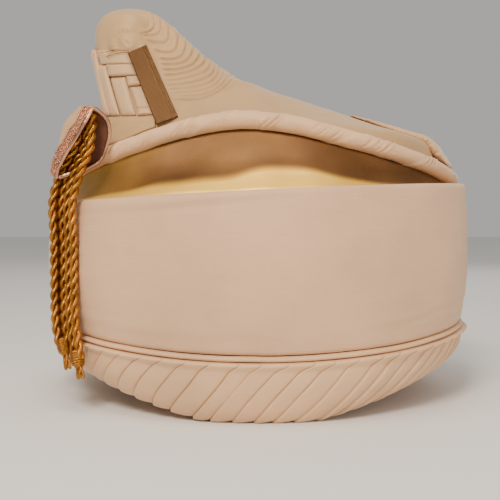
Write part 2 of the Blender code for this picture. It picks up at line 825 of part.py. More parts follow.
def hood_point(along, across):
    """A point of the hood's inner face, between its two rims."""
    outer = hood_rim(HOOD_OUTER_RIM, along)
    inner = hood_rim(HOOD_INNER_RIM, along)
    bulge = Vector((-0.88, 0.20, 0.30)).normalized()
    swell = sin(pi * across) ** 0.8 * sin(pi * min(1.0, 0.12 + 0.88 * along)) ** 0.6
    return outer.lerp(inner, across) + bulge * HOOD_BULGE * swell


def build_ornament(carriers, materials):
    """The leaf-shaped hood and its braided edge, seated on the front of the crest roll."""
    inner = []
    outer = []
    for along in spread(0.03, 0.97, 10):
        inner_row = []
        outer_row = []
        for across in spread(0, 1, 8):
            point = hood_point(along, across)
            ahead = hood_point(along + 0.01, across) - hood_point(along - 0.01, across)
            beside = hood_point(along, min(1, across + 0.01)) - hood_point(along, max(0, across - 0.01))
            out = beside.cross(ahead).normalized()
            inner_row.append(point)
            outer_row.append(point + out * HOOD_WALL)
        inner.append(inner_row)
        outer.append(outer_row)
    hood = slab("ornament_shell", outer, inner, materials["hood"])
    shift = seat_shift(hood, carriers)
    hood.data.transform(Matrix.Translation(shift))
    loop = [hood_rim(HOOD_OUTER_RIM, s) for s in spread(0.03, 0.97, 14)]
    loop += [hood_rim(HOOD_INNER_RIM, s) for s in spread(0.97, 0.03, 14)]
    middle = sum(loop, Vector()) / len(loop)
    sections = []
    for i, point in enumerate(loop):
        ahead = (loop[(i + 1) % len(loop)] - loop[i - 1]).normalized()
        away = point - middle
        away = (away - ahead * away.dot(ahead)).normalized()
        up = ahead.cross(away)
        centre = point + shift + FACE_FRONT * (BRAID_RADIUS + BRAID_GAP)
        sections.append([
            centre + BRAID_RADIUS * (cos(2 * pi * k / 5) * away + sin(2 * pi * k / 5) * up)
            for k in range(5)
        ])
    hoop("ornament_braid", sections, materials["braid"])


def seat_shift(piece, carriers):
    """How far a piece in front moves in Y until its back lies just clear of its carriers."""
    carrier_tree = tree_of(carriers)
    piece_tree = tree_of([piece])
    across = [v.co.x for v in piece.data.vertices]
    upward = [v.co.z for v in piece.data.vertices]
    gaps = []
    for x in spread(min(across), max(across), HOOD_SAMPLES):
        for z in spread(min(upward), max(upward), HOOD_SAMPLES):
            face = carrier_tree.ray_cast(Vector((x, -BODY_DEPTH, z)), Vector((0, 1, 0)))[0]
            back = piece_tree.ray_cast(Vector((x, BODY_DEPTH, z)), Vector((0, -1, 0)))[0]
            if face is not None and back is not None:
                gaps.append(face.y - back.y)
    return Vector((0, min(gaps) - HOOD_GAP, 0))


def tassel_point(share, across, layer):
    """A point of a cord, a share of the way down the tassel's middle line."""
    place = share * (len(TASSEL_LINE) - 1)
    i = min(int(place), len(TASSEL_LINE) - 2)
    t = place - i
    values = []
    for column in ("height", "turn", "off"):
        a = getattr(TASSEL_LINE[i], column)
        b = getattr(TASSEL_LINE[i + 1], column)
        values.append(a + (b - a) * t)
    height, turn, off = values
    gather = 0.45 + 0.55 * smooth_step(share / 0.3) - 0.25 * smooth_step((share - 0.75) / 0.25)
    turn_step = degrees(CORD_SPACING / (BODY_WIDTH / 2))
    at = TASSEL_TURN + turn + across * gather * turn_step
    inset = -(off + layer * 1.9) * CORD_RADIUS
    return band_ring(at, inset, TASSEL_TOP * height)


def build_tassel(material):
    """Gold cords fused to the head that they hang from."""
    parts = []
    for cord in TASSEL_CORDS:
        path = [tassel_point(s, cord.across, cord.layer) for s in spread(0, cord.end, 15)]
        radii = [CORD_RADIUS] * (len(path) - 1) + [CORD_RADIUS * 0.6]
        points, faces = tube_mesh(path, radii, CORD_SIDES)
        parts.append(make_piece("cord", points, faces, material))
    head = bmesh.new()
    bmesh.ops.create_icosphere(head, subdivisions=1, radius=CORD_RADIUS * TASSEL_HEAD)
    top = tassel_point(0, 0, 0)
    bmesh.ops.translate(head, verts=head.verts, vec=top)
    mesh = bpy.data.meshes.new("tassel")
    head.to_mesh(mesh)
    head.free()
    mesh.materials.append(material)
    tassel = bpy.data.objects.new("tassel", mesh)
    bpy.context.collection.objects.link(tassel)
    for part in parts:
        join = tassel.modifiers.new("join_" + part.name, "BOOLEAN")
        join.operation = "UNION"
        join.object = part
        part.hide_render = True
        part.display_type = "WIRE"
    return tassel


def build_turban():
    clear_scene()
    cream = make_material("cream_cloth", CREAM, 0.55)
    ivory = make_material("ivory_cloth", IVORY, 0.50)
    zari = make_material("zari_cloth", ZARI, 0.35, 0.7)
    cords = make_material("gold_cord", CORD_GOLD, 0.30, 0.8)
    braid = make_material("rose_gold_braid", COPPER, 0.45, 0.6)
    line = roll_line()
    build_rim(ivory)
    build_binding(ivory)
    build_band(cream)
    panel = build_panel(line, zari)
    roll = build_roll(line, ivory)
    crown = build_crown(line, cream)
    build_wrap(line, ivory)
    weave = build_weave(crown, ivory)
    fold = build_foot_fold(crown, line, cream)
    build_tail([crown, weave, fold, roll], zari)
    build_ornament([roll, crown, panel, weave, fold], {"hood": cream, "braid": braid})
    build_tassel(cords)


build_turban()
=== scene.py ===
"""Dresses a tied turban: pleated rim, wide band, zari panel, wound roll, gathered hump and tassel.

Lengths are in metres. Turns are degrees round the turban from the front towards +X.
"""

import math
from collections import namedtuple
from contextlib import contextmanager

import bmesh
import bpy
import numpy as np
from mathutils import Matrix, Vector
from mathutils.bvhtree import BVHTree
from mathutils.kdtree import KDTree


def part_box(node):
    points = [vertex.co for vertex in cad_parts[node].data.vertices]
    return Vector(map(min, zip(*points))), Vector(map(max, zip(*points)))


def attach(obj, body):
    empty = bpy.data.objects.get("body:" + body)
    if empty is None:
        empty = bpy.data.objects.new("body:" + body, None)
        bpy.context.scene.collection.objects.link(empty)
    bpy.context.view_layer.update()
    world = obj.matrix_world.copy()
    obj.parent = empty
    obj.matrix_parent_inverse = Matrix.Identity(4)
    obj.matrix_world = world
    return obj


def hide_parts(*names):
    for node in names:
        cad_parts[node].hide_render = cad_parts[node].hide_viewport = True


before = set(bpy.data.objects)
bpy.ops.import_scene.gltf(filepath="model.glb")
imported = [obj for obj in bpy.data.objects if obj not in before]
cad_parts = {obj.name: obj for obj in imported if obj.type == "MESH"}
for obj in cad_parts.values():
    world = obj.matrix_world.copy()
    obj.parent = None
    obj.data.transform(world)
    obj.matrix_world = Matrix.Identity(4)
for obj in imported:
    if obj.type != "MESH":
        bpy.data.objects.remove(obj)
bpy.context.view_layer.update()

bl_info = {
    "name": "Tied turban",
    "version": (1, 0, 0),
    "blender": (4, 5, 0),
    "location": "View3D > Sidebar > Turban",
    "description": "Makes the cloth, gold work and cords of a tied turban around its solids",
    "category": "Add Mesh",
}

BAND_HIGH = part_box("wide_band")[1]
HALF_WIDTH = BAND_HIGH.x + 0.0002
HALF_DEPTH = BAND_HIGH.y + 0.0002
BODY = "root"

# The picture: its side in pixels, the eye, the focal length in pixels and the downward tilt
PICTURE = 500
EYE = Vector((-0.00544, -0.600, 0.114))
FOCAL = 882.0
TILT = math.atan(35 / FOCAL)
SENSOR = 36.0

# Roll line: height over the band's top and set-back, as shares of the two lengths
ROLL_RADIUS = 0.0052
ROLL_RISE = 0.0415
ROLL_SET_BACK = 0.0310
ROLL_NEST = 0.0109
# Where the picture shows the roll's groups of creases; those behind are drawn at random
CREASE_TURNS = (-62, -49, -38, -27, -14, 3.2, 20.0, 36.0, 41.0, 57.0)
CrestStation = namedtuple("CrestStation", "turn rise set_back")
CREST_LINE = (
    CrestStation(-90, 0.19, 0.00), CrestStation(-70, 0.44, 0.15), CrestStation(-55, 0.62, 0.34),
    CrestStation(-40, 0.81, 0.70), CrestStation(-22, 0.97, 0.97), CrestStation(-6, 1.00, 1.00),
    CrestStation(10, 0.90, 0.98), CrestStation(21, 0.77, 0.90), CrestStation(35, 0.60, 0.74),
    CrestStation(47, 0.44, 0.53), CrestStation(60, 0.28, 0.29), CrestStation(73, 0.12, 0.09),
    CrestStation(90, 0.07, 0.00), CrestStation(120, 0.05, 0.00), CrestStation(230, 0.06, 0.00),
    CrestStation(250, 0.11, 0.00), CrestStation(270, 0.19, 0.00),
)

# Rim section, from the band down round the outside and up the inside
RimPoint = namedtuple("RimPoint", "out up pleat lean")
RIM_SECTION = (
    RimPoint(1.000, 1.00, 0.35, 0.00), RimPoint(0.995, 0.84, 0.75, 0.17),
    RimPoint(0.970, 0.62, 1.00, 0.38), RimPoint(0.910, 0.38, 1.00, 0.62),
    RimPoint(0.800, 0.15, 1.00, 0.86), RimPoint(0.640, 0.00, 0.90, 1.05),
    RimPoint(0.360, 0.00, 0.80, 1.15), RimPoint(0.120, 0.10, 0.60, 1.20),
    RimPoint(0.000, 0.40, 0.20, 1.20), RimPoint(0.040, 1.00, 0.00, 1.20),
)
HEAD_HALF = (0.082, 0.102)
RIM_HEIGHT = 0.0347
RIM_SIDE_RISE = 0.0085
RIM_INSET = 0.0048
KEEL_LIFT = 0.019
KEEL_FLAT = 0.27

PanelPoint = namedtuple("PanelPoint", "inward up")
PANEL_SECTION = (
    PanelPoint(0.00, 0.00), PanelPoint(0.03, 0.16), PanelPoint(0.30, 0.24),
    PanelPoint(0.58, 0.38), PanelPoint(0.82, 0.62), PanelPoint(1.00, 1.00),
)

# Long soft folds in the band: ends in turns and shares of its height, depth and width in mm
BandFold = namedtuple("BandFold", "turn_a share_a turn_b share_b bow depth width")
BAND_FOLDS = (
    BandFold(-62, 0.90, 10, 0.955, -0.02, 0.55, 2.2),
    BandFold(-70, 0.80, -18, 0.89, -0.02, 0.30, 3.0),
    BandFold(18, 0.10, 78, 0.30, -0.05, 0.45, 2.6),
    BandFold(30, 0.07, 85, 0.20, -0.04, 0.35, 2.0),
    BandFold(-58, 0.12, 5, 0.09, -0.03, 0.35, 3.0),
    BandFold(95, 0.35, 170, 0.20, -0.06, 0.50, 3.0),
    BandFold(120, 0.72, 215, 0.80, 0.05, 0.45, 3.4),
    BandFold(190, 0.25, 262, 0.40, -0.05, 0.45, 3.0),
    BandFold(20, 0.62, 88, 0.55, 0.03, 0.22, 5.0),
)

# Gathers, in pixels: where the folds leave the zari tail, a place on their way, and where they
# meet the hump's outline
GATHER_STARTS = (
    (139, 38), (146, 42), (159.7, 60.6), (163, 72), (167, 84.5), (171.7, 95.7), (175.7, 103.7), (182, 111.6),
)
GATHER_MIDDLES = ((150, 24), (163, 33), (183, 50), (197, 62), (207, 73), (215, 83), (221, 92), (224, 101))
GATHER_ENDS = ((142, 6), (163, 17), (180, 31), (192, 41), (206, 53), (216, 61), (231, 71), (244, 79))
# The share of its way at which a fold passes the middle place
GATHER_BEND = 0.62
GATHER_FOLDS = 15
# The Y at which the picture's places on the hump are read
HUMP_FRONT = -0.03

# The long folds at the far right: their lower and upper lines, in pixels
WRAP_LOW = ((330, 107), (349, 113.5), (375, 125), (400, 141), (426, 156.5), (452, 170))
WRAP_HIGH = ((330, 100), (349, 104), (375, 114), (400, 124), (426, 134), (452, 150))
# The wrap's laps: their height, half the degrees from one to the next, and its under side's filling
WRAP_LAP = 0.0004
WRAP_LAP_HALF_TURN = 7.5
WRAP_FILLING = 0.0030

# Woven strips: corner pixels from top left clockwise, and how high the strip lies, in STRIP_LIFT
Strip = namedtuple("Strip", "corners lift")
STRIPS = (
    Strip(((99, 53), (129, 53), (133, 65), (100.5, 65)), 0.4),
    Strip(((108, 65), (133, 65), (139, 76.4), (110.5, 77)), 1.3),
    Strip(((127, 77), (139.5, 76.4), (143.5, 86), (129, 87)), 1.2),
    Strip(((138, 110), (152.5, 109.5), (154.5, 116), (138.5, 116.6)), 1.4),
    Strip(((99.5, 65), (107.5, 65), (121.5, 117), (112, 117)), 1.2),
    Strip(((112, 78), (126, 77), (137, 116.5), (122.5, 117)), 0.9),
    Strip(((130, 87.5), (143.5, 86.2), (153, 110), (138, 111)), 0.7),
    Strip(((93.8, 48), (98.2, 49), (112.5, 117), (108.5, 117)), 1.6),
)
STRIP_LIFT = 0.0011
STRIP_THICK = 0.0017
STRIP_ROWS = 22
STRIP_COLUMNS = 9
TAIL_CORNERS = ((127.4, 52.5), (146.4, 44.6), (178.2, 116.6), (156.4, 124.4))
THREADS = (((130, 53), (120, 51.5), (110, 52.6)), ((130, 54), (120, 55), (110, 57.6)))
FOOT_TOP = ((106, 117), (120, 116.8), (135, 116.4), (156, 115.6))
FOOT_LOW = ((106, 147.5), (120, 143), (135, 137), (156, 128.5))

HOOD_EDGE = (
    (56.6, 176), (60, 165), (66, 153.5), (73.2, 144.7), (77.5, 135.6), (84.0, 126.5), (87.5, 115), (93, 107),
)

# The hood's stitches: each row's pixels off the hood's edge, its swing and its stitches' length as
# a share. One swing takes STITCH_PERIOD pixels
StitchRow = namedtuple("StitchRow", "name offset swing long")
STITCH_ROWS = (
    StitchRow("inner", 1.2, 0.0, 1.0), StitchRow("middle", 4.6, 2.2, 0.8),
    StitchRow("leaf", 6.2, -2.2, 0.8), StitchRow("outer", 9.8, 0.0, 0.9),
)
STITCH_PERIOD = 8.0

# The hood's rows: its outline, its solid's mouth, the mouth in the picture and its right rim
HoodRow = namedtuple("HoodRow", "row outline solid drawn right")
HOOD_ROWS = (
    HoodRow(98.0, 84, 97, 96, 104), HoodRow(107.4, 80, 96.4, 92.9, 106), HoodRow(119.0, 67, 93, 86.6, 109),
    HoodRow(130.7, 62.5, 89.8, 81, 111), HoodRow(142.3, 60, 84.8, 74.3, 109.5), HoodRow(152, 56, 79, 67.2, 106),
    HoodRow(161, 52.5, 73, 62.1, 99), HoodRow(169.6, 51, 67.4, 58.6, 87), HoodRow(178, 50.5, 59, 56.5, 72),
)

# Tassel: down as a share of its top height, turn from its own, and cord radii off the band
TASSEL_TOP = 0.1640
TASSEL_TURN = -48.0
CORD_RADIUS = 0.0024
CORD_SPACING = 0.0058
TasselStation = namedtuple("TasselStation", "height turn off")
TASSEL_LINE = (
    TasselStation(1.00, -1.0, -3.2), TasselStation(0.93, -1.4, -2.2), TasselStation(0.84, -3.3, 0.2),
    TasselStation(0.74, -4.6, 1.6), TasselStation(0.60, -4.6, 1.30), TasselStation(0.46, -4.6, 1.30),
    TasselStation(0.33, -3.9, 1.5), TasselStation(0.22, -1.7, 1.5), TasselStation(0.14, 0.8, 1.4),
)
TasselCord = namedtuple("TasselCord", "across layer end twist")
TASSEL_CORDS = (
    TasselCord(-1.6, 0, 0.855, 0.0), TasselCord(-0.55, 0, 0.86, 1.1), TasselCord(0.5, 0, 0.90, 2.3),
    TasselCord(1.55, 0, 0.92, 0.6), TasselCord(-1.1, 1, 0.86, 1.9),
)
# Cord ends: place along, across and off the tassel, and the length of their loops in mm
TasselEnd = namedtuple("TasselEnd", "share across layer loops")
TASSEL_ENDS = (TasselEnd(0.850, -1.05, 0.45, 14.0), TasselEnd(0.895, 1.05, 0.2, 12.0))

# Finishes: thread spacings in metres, and the colours that aren't settings
COTTON_THREAD = 0.0009
ZARI_TWILL = 0.0013
ZARI_THREAD = 0.0011
CORD_THREAD = 0.0010
CREAM_CREPE = (0.53, 0.325, 0.145)
IVORY_CREPE = (0.66, 0.415, 0.215)
HOOD_CREPE = (0.54, 0.34, 0.17)
BRIGHT_GOLD = (0.80, 0.345, 0.060)
BRIGHT_ROSE = (0.92, 0.50, 0.32)

StudioLight = namedtuple("StudioLight", "name place power side tint")
LIGHTS = (
    StudioLight("key", (-0.30, -1.00, 1.00), 17.0, 0.40, (1.0, 0.90, 0.78)),
    StudioLight("fill", (0.95, -1.00, 0.30), 5.0, 0.9, (1.0, 0.92, 0.86)),
    StudioLight("top", (-0.10, -0.25, 1.20), 4.0, 0.4, (1.0, 0.90, 0.76)),
    StudioLight("back", (0.30, 1.10, 0.80), 3.0, 0.9, (1.0, 0.94, 0.88)),
)
LIGHTS_AIM = (0, 0, 0.12)


RIPPLE_WAVES = 7


def smooth(value):
    value = np.clip(value, 0.0, 1.0)
    return value * value * (3 - 2 * value)


def through(places, values, at):
    """A smooth curve through values at places, read at many places."""
    places = np.asarray(places, float)
    values = np.asarray(values, float)
    at = np.clip(np.asarray(at, float), places[0], places[-1])
    count = len(places)
    low = np.maximum(np.arange(count) - 1, 0)
    high = np.minimum(np.arange(count) + 1, count - 1)
    slopes = (values[high] - values[low]) / (places[high] - places[low])
    i = np.clip(np.searchsorted(places, at, side="right") - 1, 0, count - 2)
    step = places[i + 1] - places[i]
    t = (at - places[i]) / step
    start = values[i] * (1 + 2 * t) * (1 - t) ** 2 + slopes[i] * step * t * (1 - t) ** 2
    finish = values[i + 1] * t * t * (3 - 2 * t) - slopes[i + 1] * step * t * t * (1 - t)
    return start + finish


def column(rows, name):
    return [getattr(row, name) for row in rows]


def ripple(u, v, seed):
    """Smooth uneven waves between about -1 and 1."""
    random = np.random.default_rng(seed)
    total = np.zeros(np.broadcast(u, v).shape)
    for _ in range(RIPPLE_WAVES):
        angle, phase = random.uniform(0, 2 * math.pi, 2)
        speed = random.uniform(0.5, 1.6)
        total += np.sin(speed * (u * math.cos(angle) + v * math.sin(angle)) * 2 * math.pi + phase)
    return total / math.sqrt(RIPPLE_WAVES) / 1.4


def band_top(turn):
    return 0.1275 + 0.0065 * np.sin(np.radians(turn))


def rim_top(turn):
    return RIM_HEIGHT + 0.0003 + RIM_SIDE_RISE * np.sin(np.radians(turn)) ** 2


def oval(turn, inset, height):
    """Points on the body's oval plan, set in from its outside."""
    along = np.radians(turn)
    x = (HALF_WIDTH - inset) * np.sin(along)
    y = -(HALF_DEPTH - inset) * np.cos(along)
    return np.stack(np.broadcast_arrays(x, y, height), axis=-1)


def roll_line(turn):
    place = (turn + 90) % 360 - 90
    turns = column(CREST_LINE, "turn")
    rise = through(turns, column(CREST_LINE, "rise"), place) * ROLL_RISE
    back = through(turns, column(CREST_LINE, "set_back"), place) * ROLL_SET_BACK
    return oval(turn, ROLL_NEST + back, band_top(turn) + rise)


def sight(px, py):
    """The way from the eye through a pixel of the picture."""
    ahead = Vector((0, math.cos(TILT), -math.sin(TILT)))
    up = Vector((0, math.sin(TILT), math.cos(TILT)))
    across = (px - PICTURE / 2) / FOCAL
    return (ahead + Vector((1, 0, 0)) * across + up * (PICTURE / 2 - py) / FOCAL).normalized()


def pixel_of(points):
    """Where points fall in the picture."""
    way = np.asarray(points) - np.array(EYE)
    ahead = way @ np.array((0, math.cos(TILT), -math.sin(TILT)))
    up = way @ np.array((0, math.sin(TILT), math.cos(TILT)))
    return np.stack([PICTURE / 2 + FOCAL * way[:, 0] / ahead, PICTURE / 2 - FOCAL * up / ahead], 1)


def pixel_line(table, shares):
    """A smooth line through a table's places, read at shares of its way."""
    table = np.array(table, float)
    key = np.linspace(0, 1, len(table))
    return np.stack([through(key, table[:, k], shares) for k in (0, 1)], 1)


def within(corners, s, t):
    """The pixel at shares down and across four corners, from top left clockwise."""
    a, b, c, d = (np.array(k, float) for k in corners)
    return (a * (1 - t) + b * t) * (1 - s) + (d * (1 - t) + c * t) * s


def flat_place(px, py):
    """The X and Z of a pixel at the hump's front."""
    way = sight(px, py)
    spot = EYE + way * ((HUMP_FRONT - EYE.y) / way.y)
    return spot.x, spot.z


def lengths_along(path):
    return np.concatenate([[0], np.cumsum(np.linalg.norm(np.diff(path, axis=0), axis=1))])


def unit(rows):
    return rows / np.linalg.norm(rows, axis=-1)[..., None]


def ways_across(path):
    """Two ways square to a path, at each of its points."""
    ahead = unit(np.gradient(path, axis=0))
    side = unit(np.cross(ahead, np.array([0.31, 0.92, 0.23])))
    return side, np.cross(side, ahead)


def lay(tree, px, py, lift):
    """A point on the surface behind a pixel, lifted off it, or the surface's nearest point."""
    way = sight(px, py)
    place, normal, _, reach = tree.ray_cast(EYE, way)
    if reach is None:
        place, normal, _, _ = tree.find_nearest(EYE + way * 0.56)
    if normal.dot(way) > 0:
        normal = -normal
    return place + normal * lift


def add_object(name, data):
    made = bpy.data.objects.new(name, data)
    bpy.context.scene.collection.objects.link(made)
    return made


def make_object(name, points, faces, uv=None):
    mesh = bpy.data.meshes.new(name)
    mesh.from_pydata(np.asarray(points).reshape(-1, 3).tolist(), [], faces)
    if uv is not None:
        layer = mesh.uv_layers.new(name="cloth")
        layer.data.foreach_set("uv", np.asarray(uv, np.float32).ravel())
    mesh.shade_smooth()
    return add_object(name, mesh)


def quads(rows, columns, wrap_rows, wrap_columns):
    r = np.arange(rows if wrap_rows else rows - 1)
    c = np.arange(columns if wrap_columns else columns - 1)
    r, c = (g.ravel() for g in np.meshgrid(r, c, indexing="ij"))
    down = (r + 1) % rows
    right = (c + 1) % columns
    faces = np.stack([r * columns + c, r * columns + right, down * columns + right, down * columns + c], 1)
    return faces, r, c


def surface(name, grid, along, across, wrap_columns):
    """A surface with its last row joined to the first, and a map in metres along and across it."""
    grid = np.asarray(grid)
    faces, r, c = quads(grid.shape[0], grid.shape[1], True, wrap_columns)
    uv = np.stack([
        np.stack([along[c], across[r]], 1), np.stack([along[c + 1], across[r]], 1),
        np.stack([along[c + 1], across[r + 1]], 1), np.stack([along[c], across[r + 1]], 1),
    ], 1)
    made = make_object(name, grid, faces.tolist(), uv)
    point_outward(made)
    return made


@contextmanager
def open_mesh(item):
    """An object's mesh opened for a change, and written back after it."""
    shell = bmesh.new()
    shell.from_mesh(item.data)
    yield shell
    shell.to_mesh(item.data)
    shell.free()


def point_outward(item):
    with open_mesh(item) as shell:
        bmesh.ops.recalc_face_normals(shell, faces=shell.faces)


def close_ends(item):
    """Fills the open ends of a folded strip."""
    with open_mesh(item) as shell:
        bmesh.ops.holes_fill(shell, edges=[e for e in shell.edges if len(e.link_faces) == 1])
        bmesh.ops.recalc_face_normals(shell, faces=shell.faces)


def refine(item, chosen, cuts):
    """Splits the faces whose middle is chosen into smaller ones."""
    with open_mesh(item) as shell:
        edges = {e for f in shell.faces if chosen(f.calc_center_median()) for e in f.edges}
        bmesh.ops.subdivide_edges(shell, edges=list(edges), cuts=cuts, use_grid_fill=True, smooth=0.6)
    item.data.shade_smooth()


def hoop(name, sections):
    """A closed ring from closed sections: turns by section points."""
    sections = np.asarray(sections)
    steps = np.linalg.norm(np.roll(sections, -1, 0) - sections, axis=2).mean(1)
    rounds = np.linalg.norm(np.roll(sections, -1, 1) - sections, axis=2).mean(0)
    along = np.concatenate([[0], np.cumsum(rounds)])
    across = np.concatenate([[0], np.cumsum(steps)])
    return surface(name, sections, along, across, True)


def settle(item):
    """Turns an object and its modifiers into one plain mesh."""
    graph = bpy.context.evaluated_depsgraph_get()
    mesh = bpy.data.meshes.new_from_object(item.evaluated_get(graph))
    item.modifiers.clear()
    item.data = mesh
    mesh.shade_smooth()
    return item


def soften(name, node, voxel, rounds):
    """A smooth copy of a solid, made of even small faces."""
    source = bmesh.new()
    source.from_mesh(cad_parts[node].data)
    bmesh.ops.remove_doubles(source, verts=source.verts, dist=0.00002)
    mesh = bpy.data.meshes.new(name)
    source.to_mesh(mesh)
    source.free()
    made = add_object(name, mesh)
    remesh = made.modifiers.new("even", "REMESH")
    remesh.mode = "VOXEL"
    remesh.voxel_size = voxel
    relax = made.modifiers.new("relax", "SMOOTH")
    relax.factor = 0.5
    relax.iterations = rounds
    return settle(made)


def points_of(item):
    flat = np.empty(len(item.data.vertices) * 3, np.float32)
    item.data.vertices.foreach_get("co", flat)
    return flat.reshape(-1, 3).astype(float)


def normals_of(item):
    flat = np.empty(len(item.data.vertices) * 3, np.float32)
    item.data.vertex_normals.foreach_get("vector", flat)
    return flat.reshape(-1, 3)


def place_points(item, points):
    item.data.vertices.foreach_set("co", points.astype(np.float32).ravel())
    item.data.update()


def push(item, amount):
    """Moves each point along its own normal."""
    place_points(item, points_of(item) + normals_of(item) * np.asarray(amount)[:, None])


def tree_of(item):
    return BVHTree.FromPolygons(
        [v.co.copy() for v in item.data.vertices],
        [tuple(p.vertices) for p in item.data.polygons],
    )


def wear(item, material, slot, *nodes):
    """Gives a finished piece its material and its body, and hides the solids that it stands for."""
    item.data.materials.clear()
    item.data.materials.append(material)
    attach(item, BODY)
    if nodes:
        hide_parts(*nodes)


class Shade:
    """A shader socket that takes part in sums like a number."""

    def __init__(self, tree, socket=None):
        self.tree = tree
        self.socket = socket

    def node(self, kind, inputs=None, output=0, stops=None, **settings):
        made = self.tree.nodes.new(kind)
        for name, value in settings.items():
            setattr(made, name, value)
        if stops:
            ramp = made.color_ramp.elements
            while len(ramp) < len(stops):
                ramp.new(0.5)
            for element, (place, colour) in zip(ramp, stops):
                element.position = place
                element.color = (*colour, 1.0)
        for name, value in (inputs or {}).items():
            if isinstance(value, Shade):
                self.tree.links.new(value.socket, made.inputs[name])
            else:
                made.inputs[name].default_value = value
        return Shade(self.tree, made.outputs[output])

    def noise(self, place, scale, detail):
        return self.node("ShaderNodeTexNoise", {"Vector": place, "Scale": scale, "Detail": detail})

    def ramp(self, value, *stops):
        return self.node("ShaderNodeValToRGB", {0: value}, stops=stops)

    def mix(self, factor, first, second):
        return self.node("ShaderNodeMix", {"Factor": factor, 6: first, 7: second}, output=2, data_type="RGBA")

    def cloth_map(self):
        """A place in the cloth's own map, and its two lengths."""
        lie = self.node("ShaderNodeTexCoord", output="UV")
        return lie, *(self.node("ShaderNodeSeparateXYZ", {0: lie}, output=axis) for axis in "XY")

    def sum(self, operation, first, second=0.0):
        return self.node("ShaderNodeMath", {0: first, 1: second}, operation=operation)

    def __add__(self, other):
        return self.sum("ADD", self, other)

    __radd__ = __add__

    def __mul__(self, other):
        return self.sum("MULTIPLY", self, other)

    __rmul__ = __mul__

    def __sub__(self, other):
        return self.sum("SUBTRACT", self, other)

    def __rsub__(self, other):
        return self.sum("SUBTRACT", other, self)

    def wave(self, length):
        return self.sum("SINE", self * (2 * math.pi / length))


def start_material(name):
    material = bpy.data.materials.new(name)
    material.use_nodes = True
    shader = material.node_tree.nodes["Principled BSDF"]
    return material, Shade(material.node_tree), shader


def join(shade, shader, name, value):
    shade.tree.links.new(value.socket, shader.inputs[name])


def dim(colour, share):
    return tuple(c * share for c in colour)


def cloth_material(name, colour, mapped, trim=None):
    """Satin cotton: uneven tone, fine crossed threads and a soft sheen."""
    material, shade, shader = start_material(name)
    place = shade.node("ShaderNodeTexCoord", output="Object")
    cloud = shade.noise(place, 16.0, 3.0)
    tone = shade.ramp(cloud, (0.30, dim(colour, 0.86)), (0.52, colour), (0.74, dim(colour, 1.09)))
    if mapped:
        lie, u, v = shade.cloth_map()
        weave = u.wave(COTTON_THREAD) * 0.5 + v.wave(COTTON_THREAD) * 0.5
        stretch = {"Vector": lie, "Scale": (900.0, 45.0, 1.0)}
    else:
        weave = shade.noise(place, 0.6 / COTTON_THREAD, 2.0)
        stretch = {"Vector": place, "Scale": (60.0, 60.0, 900.0)}
    slub = shade.noise(shade.node("ShaderNodeMapping", stretch), 1.0, 2.0)
    streak = shade.mix(slub * 0.30, tone, (*dim(colour, 0.74), 1.0))
    height = weave + slub * 1.2
    if trim:
        # The trim attribute: rose at 0.5 for the embroidery, and at 1 the rose dimmed to 0.30 as painted shade on
        # the hood's inner wall.
        embroidery_and_inner_shade = shade.node("ShaderNodeAttribute", output="Fac", attribute_name="trim")
        grain = shade.node("ShaderNodeTexVoronoi", {"Vector": place, "Scale": 950.0})
        rose = shade.ramp(embroidery_and_inner_shade, (0.0, colour), (0.45, trim), (0.55, trim), (1.0, dim(trim, 0.30)))
        streak = shade.mix(shade.sum("MINIMUM", embroidery_and_inner_shade * 6.0, 1.0), streak, rose)
        height = height + grain * embroidery_and_inner_shade * 1.2
        join(shade, shader, "Metallic", shade.sum("MINIMUM", embroidery_and_inner_shade * 0.7, 0.35))
    join(shade, shader, "Base Color", streak)
    bump = shade.node("ShaderNodeBump", {"Height": height, "Strength": 0.22, "Distance": 0.0003})
    join(shade, shader, "Normal", bump)
    join(shade, shader, "Roughness", slub * 0.12 + 0.46)
    shader.inputs["Sheen Weight"].default_value = 0.18
    shader.inputs["Sheen Roughness"].default_value = 0.45
    shader.inputs["Specular IOR Level"].default_value = 0.35
    return material


def zari_material(name, copper_shade, gold, glow):
    """Metal thread cloth: slanting twill, painted shade in copper in its hollows and a painted highlight in gold on
    its raised threads.
    """
    material, shade, shader = start_material(name)
    _, u, v = shade.cloth_map()
    twill = (u + v * 0.8).wave(ZARI_TWILL) * 0.5 + 0.5
    thread = (u - v * 0.8).wave(ZARI_THREAD) * 0.5 + 0.5
    place = shade.node("ShaderNodeTexCoord", output="Object")
    # The twill paints shade into its hollows and light onto its raised threads; the noise varies the tone at random.
    mask = twill * 0.20 + shade.noise(place, 28.0, 4.0) * 0.42
    if glow:
        # Painted light: the attribute lifts the tone towards gold as a painted highlight, and a weak light of its
        # own stands for a reflection that plain studio light doesn't give.
        attribute = shade.node("ShaderNodeAttribute", output="Fac", attribute_name="glow")
        mask = mask + attribute * 0.62
        shine = shade.mix(attribute * attribute, (0.0, 0.0, 0.0, 1.0), (1.0, 0.58, 0.07, 1.0))
        join(shade, shader, "Emission Color", shine)
        shader.inputs["Emission Strength"].default_value = 0.95
    tone = shade.ramp(
        mask, (0.12, dim(copper_shade, 0.55)), (0.36, copper_shade), (0.62, dim(gold, 0.75)), (0.84, gold),
        (1.0, (1.0, 0.70, 0.22)),
    )
    join(shade, shader, "Base Color", tone)
    bump = shade.node("ShaderNodeBump", {"Height": twill + thread * 0.5, "Strength": 0.35, "Distance": 0.0003})
    join(shade, shader, "Normal", bump)
    join(shade, shader, "Roughness", 0.46 - twill * 0.12)
    shader.inputs["Metallic"].default_value = 0.70
    return material


